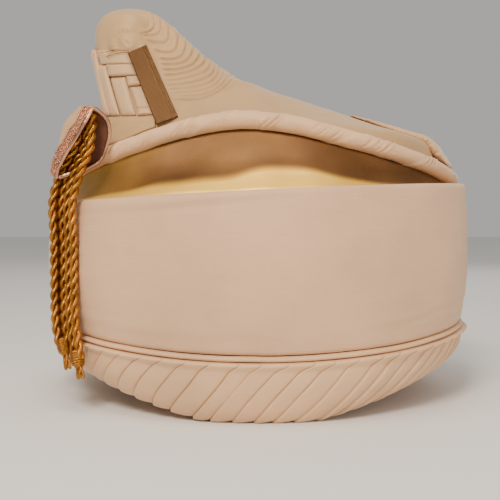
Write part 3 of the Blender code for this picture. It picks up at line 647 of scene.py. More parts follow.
def cord_material(name, bright):
    """Twisted metal thread: fine slanting threads round each ply, with painted shade in the grooves between them."""
    material, shade, shader = start_material(name)
    _, u, v = shade.cloth_map()
    threads = (u * 2.0 + v).wave(CORD_THREAD) * 0.5 + 0.5
    place = shade.node("ShaderNodeTexCoord", output="Object")
    # The threads paint shade into the grooves between them, down to 0.16 of the bright colour; the noise varies the
    # tone at random.
    tone = shade.ramp(
        threads * 0.40 + shade.noise(place, 90.0, 3.0) * 0.6,
        (0.22, dim(bright, 0.16)), (0.50, dim(bright, 0.55)), (0.80, bright),
    )
    join(shade, shader, "Base Color", tone)
    bump = shade.node("ShaderNodeBump", {"Height": threads, "Strength": 0.5, "Distance": 0.0002})
    join(shade, shader, "Normal", bump)
    join(shade, shader, "Roughness", 0.34 - threads * 0.10)
    shader.inputs["Metallic"].default_value = 0.95
    return material


def beads_on_path(name, path, spacing, size, material):
    """Small slanting stitches along a path, made with Geometry Nodes."""
    edges = [(i, i + 1) for i in range(len(path) - 1)]
    mesh = bpy.data.meshes.new(name)
    mesh.from_pydata([tuple(p) for p in path], edges, [])
    made = add_object(name, mesh)
    tree = bpy.data.node_groups.new(name, "GeometryNodeTree")
    for label, way, kind in (
        ("Geometry", "INPUT", "NodeSocketGeometry"), ("Spacing", "INPUT", "NodeSocketFloat"),
        ("Size", "INPUT", "NodeSocketVector"), ("Geometry", "OUTPUT", "NodeSocketGeometry"),
    ):
        tree.interface.new_socket(label, in_out=way, socket_type=kind)
    entry, curve, spaced, tangent, aim, slant, bead, place, real, paint, leave = (
        tree.nodes.new(kind) for kind in (
            "NodeGroupInput", "GeometryNodeMeshToCurve", "GeometryNodeResampleCurve", "GeometryNodeInputTangent",
            "FunctionNodeAlignRotationToVector", "FunctionNodeRotateRotation", "GeometryNodeMeshIcoSphere",
            "GeometryNodeInstanceOnPoints", "GeometryNodeRealizeInstances", "GeometryNodeSetMaterial",
            "NodeGroupOutput",
        )
    )
    spaced.mode = "LENGTH"
    aim.axis = "Z"
    slant.rotation_space = "LOCAL"
    slant.inputs["Rotate By"].default_value = (0.0, math.radians(34), 0.0)
    bead.inputs["Radius"].default_value = 1.0
    bead.inputs["Subdivisions"].default_value = 2
    paint.inputs["Material"].default_value = material
    for source, given, target, taken in (
        (entry, "Geometry", curve, "Mesh"), (curve, "Curve", spaced, "Curve"),
        (entry, "Spacing", spaced, "Length"), (spaced, "Curve", place, "Points"),
        (tangent, "Tangent", aim, "Vector"), (aim, "Rotation", slant, "Rotation"),
        (slant, "Rotation", place, "Rotation"), (bead, "Mesh", place, "Instance"),
        (entry, "Size", place, "Scale"), (place, "Instances", real, "Geometry"),
        (real, "Geometry", paint, "Geometry"), (paint, "Geometry", leave, "Geometry"),
    ):
        tree.links.new(source.outputs[given], target.inputs[taken])
    stitch = made.modifiers.new("stitches", "NODES")
    stitch.node_group = tree
    sockets = {item.name: item.identifier for item in tree.interface.items_tree if item.in_out == "INPUT"}
    stitch[sockets["Spacing"]] = spacing
    stitch[sockets["Size"]] = size
    return settle(made)


def tube(path, radius, sides, taper=1.0):
    """Points, faces and map of a closed tube along a path."""
    path = np.asarray(path, float)
    side, up = ways_across(path)
    angle = np.arange(sides) * 2 * math.pi / sides
    shape = np.cos(angle)[None, :, None] * side[:, None] + np.sin(angle)[None, :, None] * up[:, None]
    thick = radius * np.interp(np.linspace(0, 1, len(path)), [0, 0.02, 0.98, 1], [taper, 1, 1, taper])
    points = path[:, None] + shape * thick[:, None, None]
    faces, r, c = quads(len(path), sides, False, True)
    length = lengths_along(path)
    girth = 2 * math.pi * radius / sides
    uv = np.stack([
        np.stack([length[r], c * girth], 1), np.stack([length[r], (c + 1) * girth], 1),
        np.stack([length[r + 1], (c + 1) * girth], 1), np.stack([length[r + 1], c * girth], 1),
    ], 1).reshape(-1, 2)
    caps = [list(range(sides))[::-1], [(len(path) - 1) * sides + k for k in range(sides)]]
    cap_uv = np.zeros((2 * sides, 2))
    return points.reshape(-1, 3), faces.tolist() + caps, np.concatenate([uv, cap_uv])


def merged(parts):
    """The points and faces of many parts as one."""
    points = []
    faces = []
    for part_points, part_faces, *_ in parts:
        start = sum(len(p) for p in points)
        points.append(part_points)
        faces += [[start + i for i in face] for face in part_faces]
    return np.concatenate(points), faces


def tubes(name, parts):
    """One object from many tubes."""
    made = make_object(name, *merged(parts), np.concatenate([uv for _, _, uv in parts]))
    point_outward(made)
    return made


def length_setting(name, description, default):
    return bpy.props.FloatProperty(name=name, description=description, default=default, unit="LENGTH")


def colour_setting(name, description, default):
    return bpy.props.FloatVectorProperty(
        name=name, description=description, subtype="COLOR", size=3, default=default)


class TurbanSizes(bpy.types.PropertyGroup):
    pleats: bpy.props.IntProperty(name="Pleats", description="Lapped pleats round the rim", default=62, min=12)
    pleat_depth: length_setting("Pleat depth", "How far a pleat's lip stands proud", 0.0017)
    pleat_twist: bpy.props.FloatProperty(
        name="Pleat lean", description="Degrees that a pleat turns on its way down", default=12.8)
    band_wall: length_setting("Band wall", "Thickness of the wide band", 0.0030)
    gather_depth: length_setting("Gather depth", "Height of the hump's gathers", 0.0017)
    cord_pitch: length_setting("Cord pitch", "Length of one full twist of a cord", 0.0137)


class TurbanColours(bpy.types.PropertyGroup):
    cream: colour_setting("Cream", "Band and crown cloth", (0.745, 0.465, 0.272))
    ivory: colour_setting("Ivory", "Rim, roll and strips", (0.80, 0.500, 0.275))
    # Copper and gold are the shaded and lit copies of one metal thread: painted shade and painted light.
    copper_shade: colour_setting("Copper", "Shaded metal thread", (0.185, 0.083, 0.027))
    gold: colour_setting("Gold", "Lit metal thread", (0.50, 0.262, 0.066))
    rose: colour_setting("Rose", "Braid of the ornament", (0.56, 0.215, 0.110))


def sizes():
    return bpy.context.scene.turban_sizes


def finish_of(name):
    """A finish by name, made the first time that it is asked for."""
    known = bpy.data.materials.get(name)
    if known:
        return known
    colours = bpy.context.scene.turban_colours
    copper_shade, gold, rose = (tuple(c) for c in (colours.copper_shade, colours.gold, colours.rose))
    makers = {
        "cream satin": lambda: cloth_material(name, tuple(colours.cream), True),
        "ivory satin": lambda: cloth_material(name, tuple(colours.ivory), True),
        "cream crepe": lambda: cloth_material(name, CREAM_CREPE, False),
        "ivory crepe": lambda: cloth_material(name, IVORY_CREPE, False),
        "hood crepe": lambda: cloth_material(name, HOOD_CREPE, False, rose),
        "zari panel": lambda: zari_material(name, copper_shade, gold, True),
        "zari tail": lambda: zari_material(name, dim(copper_shade, 0.80), dim(gold, 0.45), False),
        "gold cord": lambda: cord_material(name, BRIGHT_GOLD),
        "rose thread": lambda: cord_material(name, BRIGHT_ROSE),
    }
    return makers[name]()


class TURBAN_OT_stage(bpy.types.Operator):
    """Makes the camera, the floor and the soft lights"""

    bl_idname = "turban.stage"
    bl_label = "Stage"

    def execute(self, context):
        lens = bpy.data.cameras.new("picture")
        lens.sensor_width = SENSOR
        lens.lens = FOCAL / PICTURE * SENSOR
        camera = add_object("picture", lens)
        camera.location = EYE
        camera.rotation_euler = (math.pi / 2 - TILT, 0, 0)
        context.scene.camera = camera
        floor = make_object("floor", [(-4, -4, 0), (4, -4, 0), (4, 4, 0), (-4, 4, 0)], [(0, 1, 2, 3)])
        material, _, shader = start_material("pale floor")
        shader.inputs["Base Color"].default_value = (0.80, 0.79, 0.77, 1)
        shader.inputs["Roughness"].default_value = 0.8
        floor.data.materials.append(material)
        for row in LIGHTS:
            light = bpy.data.lights.new(row.name, "AREA")
            light.energy = row.power
            light.color = row.tint
            light.size = row.side
            lamp = add_object(row.name, light)
            lamp.location = row.place
            lamp.rotation_euler = (Vector(LIGHTS_AIM) - Vector(row.place)).to_track_quat("-Z", "Y").to_euler()
        world = bpy.data.worlds.new("soft room")
        world.use_nodes = True
        air = world.node_tree.nodes["Background"].inputs
        air["Color"].default_value = (0.92, 0.90, 0.87, 1)
        air["Strength"].default_value = 0.50
        context.scene.world = world
        return {"FINISHED"}


class TURBAN_OT_rim(bpy.types.Operator):
    """Makes the pleated rim and the binding over it"""

    bl_idname = "turban.rim"
    bl_label = "Rim and binding"

    def execute(self, context):
        size = sizes()
        random = np.random.default_rng(11)
        local = np.array([0.0, 0.035, 0.08, 0.18, 0.32, 0.46, 0.60, 0.74, 0.86, 0.94, 0.975])
        step = 360 / size.pleats
        jitter = random.uniform(-0.10, 0.10, size.pleats)
        strength = random.uniform(0.75, 1.2, size.pleats)
        edges = np.arange(size.pleats) + jitter
        turns = []
        lobes = []
        power = []
        for pleat in range(size.pleats):
            last = edges[pleat + 1] if pleat + 1 < size.pleats else edges[0] + size.pleats
            turns.append((edges[pleat] + (last - edges[pleat]) * local) * step)
            lobes.append(local)
            power.append(np.full(len(local), strength[pleat]))
        turns, lobes, power = (np.concatenate(k)[:, None] for k in (turns, lobes, power))
        count = len(RIM_SECTION)
        closed = list(RIM_SECTION[-2:]) + list(RIM_SECTION) + list(RIM_SECTION[:2])
        at = np.linspace(0, count, 60, endpoint=False)
        keys = np.arange(-2, count + 2)
        out = through(keys, column(closed, "out"), at)[None, :]
        up = np.clip(through(keys, column(closed, "up"), at), 0, 1)[None, :]
        weight = through(keys, column(closed, "pleat"), at)[None, :]
        lean = through(keys, column(closed, "lean"), at)[None, :]
        bend = 0.06 * np.sin(turns / 7.3) * np.sin(math.pi * np.clip(lean, 0, 1))
        turn = turns - size.pleat_twist * (lean + bend)
        along = np.radians(turn)
        side = np.maximum(0, (np.abs(np.sin(along)) - KEEL_FLAT) / (1 - KEEL_FLAT))
        base = KEEL_LIFT * (side * 0.75 + 0.25 * smooth(side))
        top = rim_top(turn) - 0.0003
        reach_x = HEAD_HALF[0] + (HALF_WIDTH - RIM_INSET - HEAD_HALF[0]) * out
        reach_y = HEAD_HALF[1] + (HALF_DEPTH - RIM_INSET - HEAD_HALF[1]) * out
        raised = np.clip(lobes / 0.035, 0, 1) * (1 - 0.85 * np.maximum(0, lobes - 0.035) ** 0.8)
        raised = raised + 0.30 * np.sin(math.pi * np.clip(lobes, 0, 1)) ** 0.7
        crease = np.exp(-((np.minimum(lobes, 1 - lobes)) / 0.035) ** 2)
        lift = size.pleat_depth * weight * power * (raised - 0.45 * crease)
        lift = lift + 0.00025 * ripple(turn / 9, up * 2, 21) * weight
        outward = lift * (2 * out - 1)
        sunk = size.pleat_depth * weight * np.clip(1 - raised, 0, 1) * (1 - up)
        grid = np.stack(np.broadcast_arrays(
            (reach_x + outward) * np.sin(along),
            -(reach_y + outward) * np.cos(along),
            np.maximum(0, base + (top - base) * up + sunk),
        ), axis=-1)
        rim = hoop("pleated_rim_cloth", grid)
        wear(rim, finish_of("ivory satin"), "ivory_cloth", "pleated_rim")
        turn = np.linspace(0, 360, 480, endpoint=False)[:, None]
        angle = np.linspace(0, 2 * math.pi, 18, endpoint=False)[None, :]
        low = rim_top(turn)
        height = low + 0.0016 * (1 + np.sin(angle)) + 0.0001 * ripple(turn / 14, 0 * angle, 5)
        inset = 0.0038 + 0.0025 * (1 + np.cos(angle)) - 0.0006 * np.exp(-((angle - math.pi) / 0.9) ** 2)
        binding = hoop("band_binding_cloth", oval(turn, inset, height))
        wear(binding, finish_of("ivory satin"), "ivory_cloth", "band_binding")
        return {"FINISHED"}


class TURBAN_OT_band(bpy.types.Operator):
    """Makes the wide band with its long soft folds"""

    bl_idname = "turban.band"
    bl_label = "Wide band"

    def execute(self, context):
        wall = sizes().band_wall
        turn = np.linspace(0, 360, 540, endpoint=False)[:, None]
        share = np.linspace(0, 1, 54)[None, :]
        foot = rim_top(turn) + 0.0038
        tall = band_top(turn) - foot
        edge = np.where(share > 0.5, 0.0024, 0.0046)
        inset = edge * (2 * share - 1) ** 2
        soft = 0.0009 * (np.exp(-(share / 0.012) ** 2) + np.exp(-((1 - share) / 0.012) ** 2))
        fold = 0.00022 * ripple(turn / 40, share * 1.6, 3) + 0.00010 * ripple(turn / 30, share * 7, 8)
        for row in BAND_FOLDS:
            t = np.clip((turn - row.turn_a) / (row.turn_b - row.turn_a), 0, 1)
            for shift in (-360, 360):
                moved = (turn + shift - row.turn_a) / (row.turn_b - row.turn_a)
                t = np.where((moved > 0) & (moved < 1), moved, t)
            line = row.share_a + (row.share_b - row.share_a) * t + row.bow * 4 * t * (1 - t)
            away = (share - line) * tall / (row.width * 0.001)
            fade = np.sin(math.pi * t) ** 0.7
            fold = fold + row.depth * 0.001 * fade * (0.7 * np.exp(-(away - 1.5) ** 2) - np.exp(-away ** 2))
        outer = oval(turn, inset + soft - np.minimum(fold, 0.0009), foot + tall * share)
        back = np.array([1.0, 0.66, 0.33, 0.0])[None, :]
        inner = oval(turn, (0.0046 - 0.0022 * back) + wall, foot + tall * back)
        band = hoop("wide_band_cloth", np.concatenate([outer, inner], axis=1))
        wear(band, finish_of("cream satin"), "cream_cloth", "wide_band")
        return {"FINISHED"}


class TURBAN_OT_panel(bpy.types.Operator):
    """Makes the hollow zari panel between the band and the roll"""

    bl_idname = "turban.panel"
    bl_label = "Zari panel"

    def execute(self, context):
        turn = np.linspace(-105, 70, 420)[None, :]
        row = np.linspace(0, 5, 46)[:, None]
        inward = through(range(6), column(PANEL_SECTION, "inward"), row)
        up = through(range(6), column(PANEL_SECTION, "up"), row)
        low = oval(turn, 0.0057, band_top(turn) - 0.006)
        high = roll_line(turn)
        high[..., 2] -= ROLL_RADIUS + 0.0003
        front = low + (high - low) * inward[..., None]
        front[..., 2] = low[..., 2] + (high - low)[..., 2] * up
        wave = 0.0009 * ripple(turn / 18, up * 1.2, 14) * np.sin(math.pi * np.clip(up, 0, 1)) ** 0.7
        front[..., 2] += wave
        behind = unit(-front * np.array([1, 1, 0]))
        behind = unit(behind + 0.5 * np.array([0, 0, -1]) * (1 - up)[..., None])
        grid = np.concatenate([front, (front + behind * 0.0018)[::-1]], axis=0)
        along = np.linspace(0, 0.41, grid.shape[1])
        across = np.linspace(0, 0.16, grid.shape[0] + 1)
        panel = surface("zari_panel_cloth", grid, along, across, False)
        close_ends(panel)
        # Painted light for the panel: a painted highlight over the low shelf up to a wavy top, highest at the
        # middle, and a painted lift of the top rows and of the left end, where the ornament's shadow falls; the back
        # gets none.
        glow = panel.data.attributes.new("glow", "FLOAT", "POINT")
        crest = 0.36 + 0.05 * np.sin(np.radians(turn * 7)) + 0.16 * np.exp(-((turn - 2) / 26) ** 2)
        bright = smooth((crest - up) / 0.16) * (0.55 + 0.45 * np.exp(-((turn + 4) / 42) ** 2))
        painted_lift = 0.06 * smooth((up - 0.80) / 0.18) + 0.26 * smooth((-26 - turn) / 16)
        bright = np.concatenate([np.maximum(bright, painted_lift), bright[::-1] * 0], axis=0)
        glow.data.foreach_set("value", bright.astype(np.float32).ravel())
        wear(panel, finish_of("zari panel"), "zari_cloth", "zari_panel")
        return {"FINISHED"}


class TURBAN_OT_roll(bpy.types.Operator):
    """Makes the wound crest roll with its groups of slanting creases"""

    bl_idname = "turban.roll"
    bl_label = "Crest roll"

    def execute(self, context):
        turn = np.linspace(0, 360, 1900, endpoint=False)
        line = roll_line(turn)
        ahead = np.roll(line, -1, 0) - np.roll(line, 1, 0)
        out = unit(np.stack([ahead[:, 1], -ahead[:, 0], 0 * turn], 1))
        angle = np.linspace(0, 2 * math.pi, 32, endpoint=False)
        run = lengths_along(line)[:, None]
        random = np.random.default_rng(4)
        places = list(CREASE_TURNS) + list(random.uniform(66, 280, 16))
        girth = angle[None, :] * ROLL_RADIUS
        dent = 0.00016 * ripple(run / 0.018, girth / 0.012, 6)
        for place in places:
            middle = np.interp(place % 360, turn, run[:, 0])
            for k in range(random.integers(2, 5)):
                start = middle + 0.0034 * k + random.uniform(-0.0008, 0.0008)
                level = random.uniform(0.0, 1.0) * ROLL_RADIUS
                wide = random.uniform(0.55, 0.95) * ROLL_RADIUS
                for round_girth in (girth, girth - 2 * math.pi * ROLL_RADIUS):
                    slide = (run - start) - 0.95 * (round_girth - level)
                    reach = (round_girth - level) / wide
                    dent = dent - 0.00135 * np.exp(-(slide / 0.00055) ** 2 - reach ** 2)
                    dent = dent + 0.00060 * np.exp(-((slide - 0.0012) / 0.0008) ** 2 - reach ** 2)
        lap = (run / 0.052 - angle[None, :] / (2 * math.pi)) % 1.0
        radius = ROLL_RADIUS - 0.0002 + dent + 0.00055 * (1 - lap) * smooth(lap / 0.03)
        grid = line[:, None] + radius[..., None] * (
            np.cos(angle)[None, :, None] * out[:, None]
            + np.sin(angle)[None, :, None] * np.array([0, 0, 1.0])
        )
        roll = hoop("crest_roll_cloth", grid)
        wear(roll, finish_of("ivory satin"), "ivory_cloth", "crest_roll")
        return {"FINISHED"}


def gather_height(points):
    """The fan of gathers from the zari tail to the hump's outline, and the cap's broad folds."""
    folds = np.linspace(0, 1, 520)
    steps = np.linspace(0, 1.10, 50)
    start, middle, finish = (
        pixel_line([flat_place(*p) for p in table], folds)
        for table in (GATHER_STARTS, GATHER_MIDDLES, GATHER_ENDS)
    )
    lookup = KDTree(len(folds) * len(steps))
    for j, t in enumerate(steps):
        row = (
            start * (t - GATHER_BEND) * (t - 1) / GATHER_BEND
            + middle * t * (t - 1) / (GATHER_BEND * (GATHER_BEND - 1))
            + finish * t * (t - GATHER_BEND) / (1 - GATHER_BEND)
        )
        for i in range(len(folds)):
            lookup.insert((row[i][0], 0, row[i][1]), i * len(steps) + j)
    lookup.balance()
    heights = np.zeros(len(points))
    random = np.random.default_rng(9)
    strength = random.uniform(0.65, 1.2, GATHER_FOLDS + 2)
    reach_up = random.uniform(0.45, 1.0, GATHER_FOLDS + 2)
    centre = np.array(flat_place(132, 50))
    for n, point in enumerate(points):
        if point[2] < 0.160 or point[0] > 0.02:
            continue
        _, index, gap = lookup.find((point[0], 0, point[2]))
        fold = folds[index // len(steps)]
        step = steps[index % len(steps)]
        count = fold * GATHER_FOLDS + 0.16 * math.sin(7 * step + 9 * fold)
        whole = int(max(0, min(count, GATHER_FOLDS)))
        share = min(1.0, max(0.0, count - math.floor(count)))
        main = math.sin(math.pi * share ** 1.7) ** 0.8
        small = abs(math.sin(math.pi * count * 2.0 + 0.6)) ** 0.6 * max(0.0, 1 - step / (0.45 * reach_up[whole]))
        near = max(0.0, 1 - gap / 0.0030)
        fade = min(1.0, step / 0.06) * min(1.0, fold / 0.04, (1 - fold) / 0.07)
        calm = 1 - 0.75 * float(smooth((step - 0.68) / 0.26))
        relief = main * (0.8 + 0.2 * step) - 0.45 + 0.35 * small
        heights[n] = relief * near * max(0.0, fade) * strength[whole] * calm
        reach = math.hypot(point[0] - centre[0], point[2] - centre[1])
        if point[2] > centre[1] - 0.004 and point[0] < centre[0] + 0.016:
            side = math.atan2(point[2] - centre[1], point[0] - centre[0])
            arc = math.sin(reach / 0.0085 * 2 * math.pi + 1.2 * math.sin(side * 2.0) + 0.5)
            rays = abs(math.sin(side * 9.0 + 1.0)) ** 0.6 * max(0.0, 1 - reach / 0.012)
            broad = 0.30 * arc * min(1.0, reach / 0.008) + 0.42 * rays * min(1.0, reach / 0.002)
            heights[n] += broad * (1 - near)
    return heights * smooth((0.030 - points[:, 1]) / 0.030)


class TURBAN_OT_crown(bpy.types.Operator):
    """Makes the crown with its gathered hump, and the lapped folds over its far side"""

    bl_idname = "turban.crown"
    bl_label = "Crown and side wrap"

    def long_folds(self, points):
        """Fine laps between the wrap's edge and the outline, parallel to both."""
        seen = pixel_of(points)
        shares = np.linspace(0, 1, 80)
        low = pixel_line(WRAP_LOW, shares)
        high = pixel_line(WRAP_HIGH, shares)
        bottom = np.interp(seen[:, 0], low[:, 0], low[:, 1])
        top = np.interp(seen[:, 0], high[:, 0], high[:, 1])
        up = (bottom - seen[:, 1]) / (bottom - top)
        ends = smooth((seen[:, 0] - 330) / 30) * smooth((470 - seen[:, 0]) / 14)
        front = (points[:, 1] < 0.05) & (up > 0) & (up < 1.3)
        return WRAP_LAP * ((np.clip(up, 0, 1.3) * 4.0) % 1.0) ** 0.6 * ends * front

    def execute(self, context):
        crown = soften("crown_cloth", "crown", voxel=0.0022, rounds=15)
        refine(crown, lambda spot: spot.z > 0.172 and spot.x < 0.012, 2)
        points = points_of(crown)
        lift = gather_height(points) * sizes().gather_depth
        lift += 0.0002 * ripple(points[:, 0] / 0.03, points[:, 2] / 0.03, 17)
        push(crown, lift)
        wear(crown, finish_of("cream crepe"), "cream_cloth", "crown")
        wrap = soften("side_wrap_cloth", "side_wrap", voxel=0.0014, rounds=10)
        refine(wrap, lambda spot: spot.x > 0.035 and spot.y < 0.05 and spot.z > 0.135, 1)
        points = points_of(wrap)
        round_hump = np.degrees(np.arctan2(points[:, 1] + 0.01, points[:, 0] + 0.045))
        fold = np.abs(np.sin(np.radians(round_hump + 9) * 180 / WRAP_LAP_HALF_TURN / 2)) ** 0.6 - 0.6
        under = normals_of(wrap)[:, 2] < 0
        carrier = KDTree(720)
        for i, spot in enumerate(roll_line(np.linspace(0, 360, 720))):
            carrier.insert(spot, i)
        carrier.balance()
        clear = smooth((np.array([carrier.find(spot)[2] for spot in points]) - 0.0075) / 0.010)
        filling = WRAP_FILLING * smooth((points[:, 0] - 0.065) / 0.055) * clear * under
        laps = WRAP_LAP * fold * (points[:, 0] > 0.02) + self.long_folds(points)
        push(wrap, laps * ~under + filling)
        wear(wrap, finish_of("ivory crepe"), "ivory_cloth", "side_wrap")
        return {"FINISHED"}


def two_sides(tree, rows, columns, place):
    """Rows of points over a strip's front and back under it; place gives a pixel and both lifts."""
    front = []
    back = []
    for s in np.linspace(0, 1, rows):
        row = [place(s, t) for t in np.linspace(0, 1, columns)]
        front.append([tuple(lay(tree, px, py, lift)) for px, py, lift, _ in row])
        back.append([tuple(lay(tree, px, py, under)) for px, py, _, under in row])
    faces, _, _ = quads(2 * rows, columns, True, False)
    return np.array(front + back[::-1]).reshape(-1, 3), faces.tolist()


def laid_strip(tree, corners, lift):
    """A cloth strip between four corner pixels, with rounded edges and a back."""

    def place(s, t):
        edge = min(1.0, 4 * t, 4 * (1 - t), 5 * s, 5 * (1 - s))
        round_edge = math.sin(edge * math.pi / 2) ** 0.6 + 0.10 * math.sin(9 * t + 5 * s + corners[0][0])
        top = lift + STRIP_THICK * (0.25 + 0.75 * round_edge)
        return *within(corners, s, t), top, max(0.0001, lift - 0.0004)

    return two_sides(tree, STRIP_ROWS, STRIP_COLUMNS, place)


def foot_place(s, t):
    """A place on the foot fold: its pixel, and how high its front and back lie."""
    px = 106 + 50 * t
    top, low = (np.interp(px, *np.transpose(edge)) for edge in (FOOT_TOP, FOOT_LOW))
    bulge = math.sin(math.pi * min(1, s * 3 + 0.12) / 2)
    lift = 0.0016 * bulge + 0.0002 * math.sin(7 * t + 9 * s)
    return px, top + (low - top) * s, 0.0006 + lift, 0.0002


class TURBAN_OT_strips(bpy.types.Operator):
    """Makes the woven strips, the foot fold and the zari tail on the hump's front"""

    bl_idname = "turban.strips"
    bl_label = "Woven face and tail"

    def execute(self, context):
        tree = tree_of(bpy.data.objects["crown_cloth"])
        parts = []
        for strip in STRIPS:
            middle = np.mean(strip.corners, axis=0)
            corners = [middle + (np.array(c) - middle) * 0.965 for c in strip.corners]
            parts.append(laid_strip(tree, corners, strip.lift * STRIP_LIFT))
        weave = make_object("woven_face_cloth", *merged(parts))
        close_ends(weave)
        weave.data.shade_smooth()
        wear(weave, finish_of("ivory crepe"), "ivory_cloth", "woven_face")
        fold = make_object("foot_fold_cloth", *two_sides(tree, 20, 44, foot_place))
        close_ends(fold)
        fold.data.shade_smooth()
        wear(fold, finish_of("cream crepe"), "cream_cloth", "foot_fold")
        tail = self.tail(tree)
        wear(tail, finish_of("zari tail"), "zari_cloth", "zari_tail")
        return {"FINISHED"}

    def tail(self, crown):
        """The stiff folded zari end, with its doubled right edge and two frayed threads."""
        solid = tree_of(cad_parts["zari_tail"])
        shares = np.linspace(0, 1, 60)
        ways = [sight(*within(TAIL_CORNERS, 0.04 + 0.92 * s, 0.5)) for s in shares]
        depths = [solid.ray_cast(EYE, way)[0].y for way in ways]
        depths = np.polyval(np.polyfit(shares, depths, 2), shares)
        section = [(t, 0.0) for t in np.linspace(0.02, 0.76, 16)]
        section += [(0.78, 0.0006), (0.80, 0.0002), (0.88, 0.0002), (0.895, 0.0009), (0.91, 0.0006), (0.985, 0.0008)]
        section += [(1.0, 0.0014), (1.0, 0.0027), (0.5, 0.0028), (0.0, 0.0027), (0.0, 0.0010)]
        grid = []
        for t, deep in section:
            row = []
            for k, s in enumerate(shares):
                way = sight(*within(TAIL_CORNERS, s, t))
                y = depths[k] + deep + 0.00022 * math.sin(5 * s + 3 * t)
                row.append(EYE + way * ((y - EYE.y) / way.y))
            grid.append(row)
        made = surface("zari_tail_cloth", np.array(grid), np.linspace(0, 0.048, 60),
                       np.linspace(0, 0.034, len(section) + 1), False)
        close_ends(made)
        made.data.shade_smooth()
        threads = []
        for path in THREADS:
            line = [lay(crown, px, py, 0.0030) for px, py in pixel_line(path, np.linspace(0, 1, 24))]
            threads.append(tube(line, 0.00020, 6))
        fray = tubes("zari_tail_threads", threads)
        wear(fray, finish_of("zari tail"), "zari_cloth")
        return made


class TURBAN_OT_ornament(bpy.types.Operator):
    """Makes the leaf-shaped hood with its braided edge"""

    bl_idname = "turban.ornament"
    bl_label = "Ornament"

    def execute(self, context):
        hood = soften("ornament_shell_cloth", "ornament_shell", voxel=0.0007, rounds=4)
        self.shape(hood)
        tree = tree_of(hood)
        points = points_of(hood)
        seen = pixel_of(points)
        edge = pixel_line(HOOD_EDGE, np.linspace(0, 1, 90))
        gaps = np.sqrt(((seen[:, None] - edge[None]) ** 2).sum(2))
        gap = gaps.min(1)
        reach = 6.2 + 4.3 * np.sin(math.pi * gaps.argmin(1) / 90)
        # The inner wall gets 1, painted shade in dark rose, and the margin along the edge gets up to 0.5 for the
        # embroidery.
        inside = normals_of(hood) @ np.array((-0.88, 0.20, 0.30)) < 0
        embroidery_and_inner_shade = np.where(inside, 1.0, 0.5 * smooth((reach - gap) / 1.2))
        trim = hood.data.attributes.new("trim", "FLOAT", "POINT")
        trim.data.foreach_set("value", embroidery_and_inner_shade.astype(np.float32))
        wear(hood, finish_of("hood crepe"), "cream_cloth", "ornament_shell")
        edging = soften("ornament_braid_edge", "ornament_braid", voxel=0.0005, rounds=2)
        self.shape(edging)
        wear(edging, finish_of("rose thread"), "rose_gold_braid", "ornament_braid")
        ahead = unit(np.gradient(edge, axis=0))
        left = np.stack([ahead[:, 1], -ahead[:, 0]], 1)
        run = lengths_along(edge)
        wide = 0.58 + 0.42 * np.sin(math.pi * np.linspace(0, 1, 90))
        for stitch in STITCH_ROWS:
            away = (stitch.offset + stitch.swing * np.sin(run * 2 * math.pi / STITCH_PERIOD)) * wide
            row = edge + left * away[:, None]
            path = [lay(tree, px, py, 0.0004) for px, py in row[3:-6]]
            stitches = beads_on_path("ornament_stitches_" + stitch.name, path, 0.00115,
                                     (0.00042, 0.00034, 0.00080 * stitch.long), finish_of("rose thread"))
            wear(stitches, finish_of("rose thread"), "rose_gold_braid")
        return {"FINISHED"}

    def shape(self, item):
        """Rounds the hood's upper left corner, draws its right rim in and opens its mouth."""
        points = points_of(item)
        px, py = pixel_of(points).T
        corner = np.exp(-((px - 73) ** 2 + (py - 106) ** 2) / 162)
        points[:, 0] += 0.0022 * corner - 0.0024 * smooth((px - 98) / 14)
        points[:, 2] -= 0.0030 * corner
        px, py = pixel_of(points).T
        rows = column(HOOD_ROWS, "row")
        outline, solid, drawn, right = (
            np.interp(py, rows, column(HOOD_ROWS, k)) for k in ("outline", "solid", "drawn", "right")
        )
        rising = smooth((px - outline) / (solid - outline))
        weight = np.where(px < solid, rising, smooth((right - px) / (right - solid)))
        ahead = np.array((0, math.cos(TILT), -math.sin(TILT)))
        points[:, 0] += (drawn - solid) * weight * ((points - np.array(EYE)) @ ahead) / FOCAL
        place_points(item, points)


def tassel_point(share, across, layer):
    """Points of a cord, shares of the way down the tassel's middle line."""
    place = share * (len(TASSEL_LINE) - 1)
    keys = np.arange(len(TASSEL_LINE))
    height, turn, off = (through(keys, column(TASSEL_LINE, k), place) for k in ("height", "turn", "off"))
    gather = 0.45 + 0.55 * smooth(share / 0.3) - 0.25 * smooth((share - 0.75) / 0.25)
    at = TASSEL_TURN + turn + across * gather * math.degrees(CORD_SPACING / HALF_WIDTH)
    return oval(at, -(off + layer * 1.9) * CORD_RADIUS, TASSEL_TOP * height)


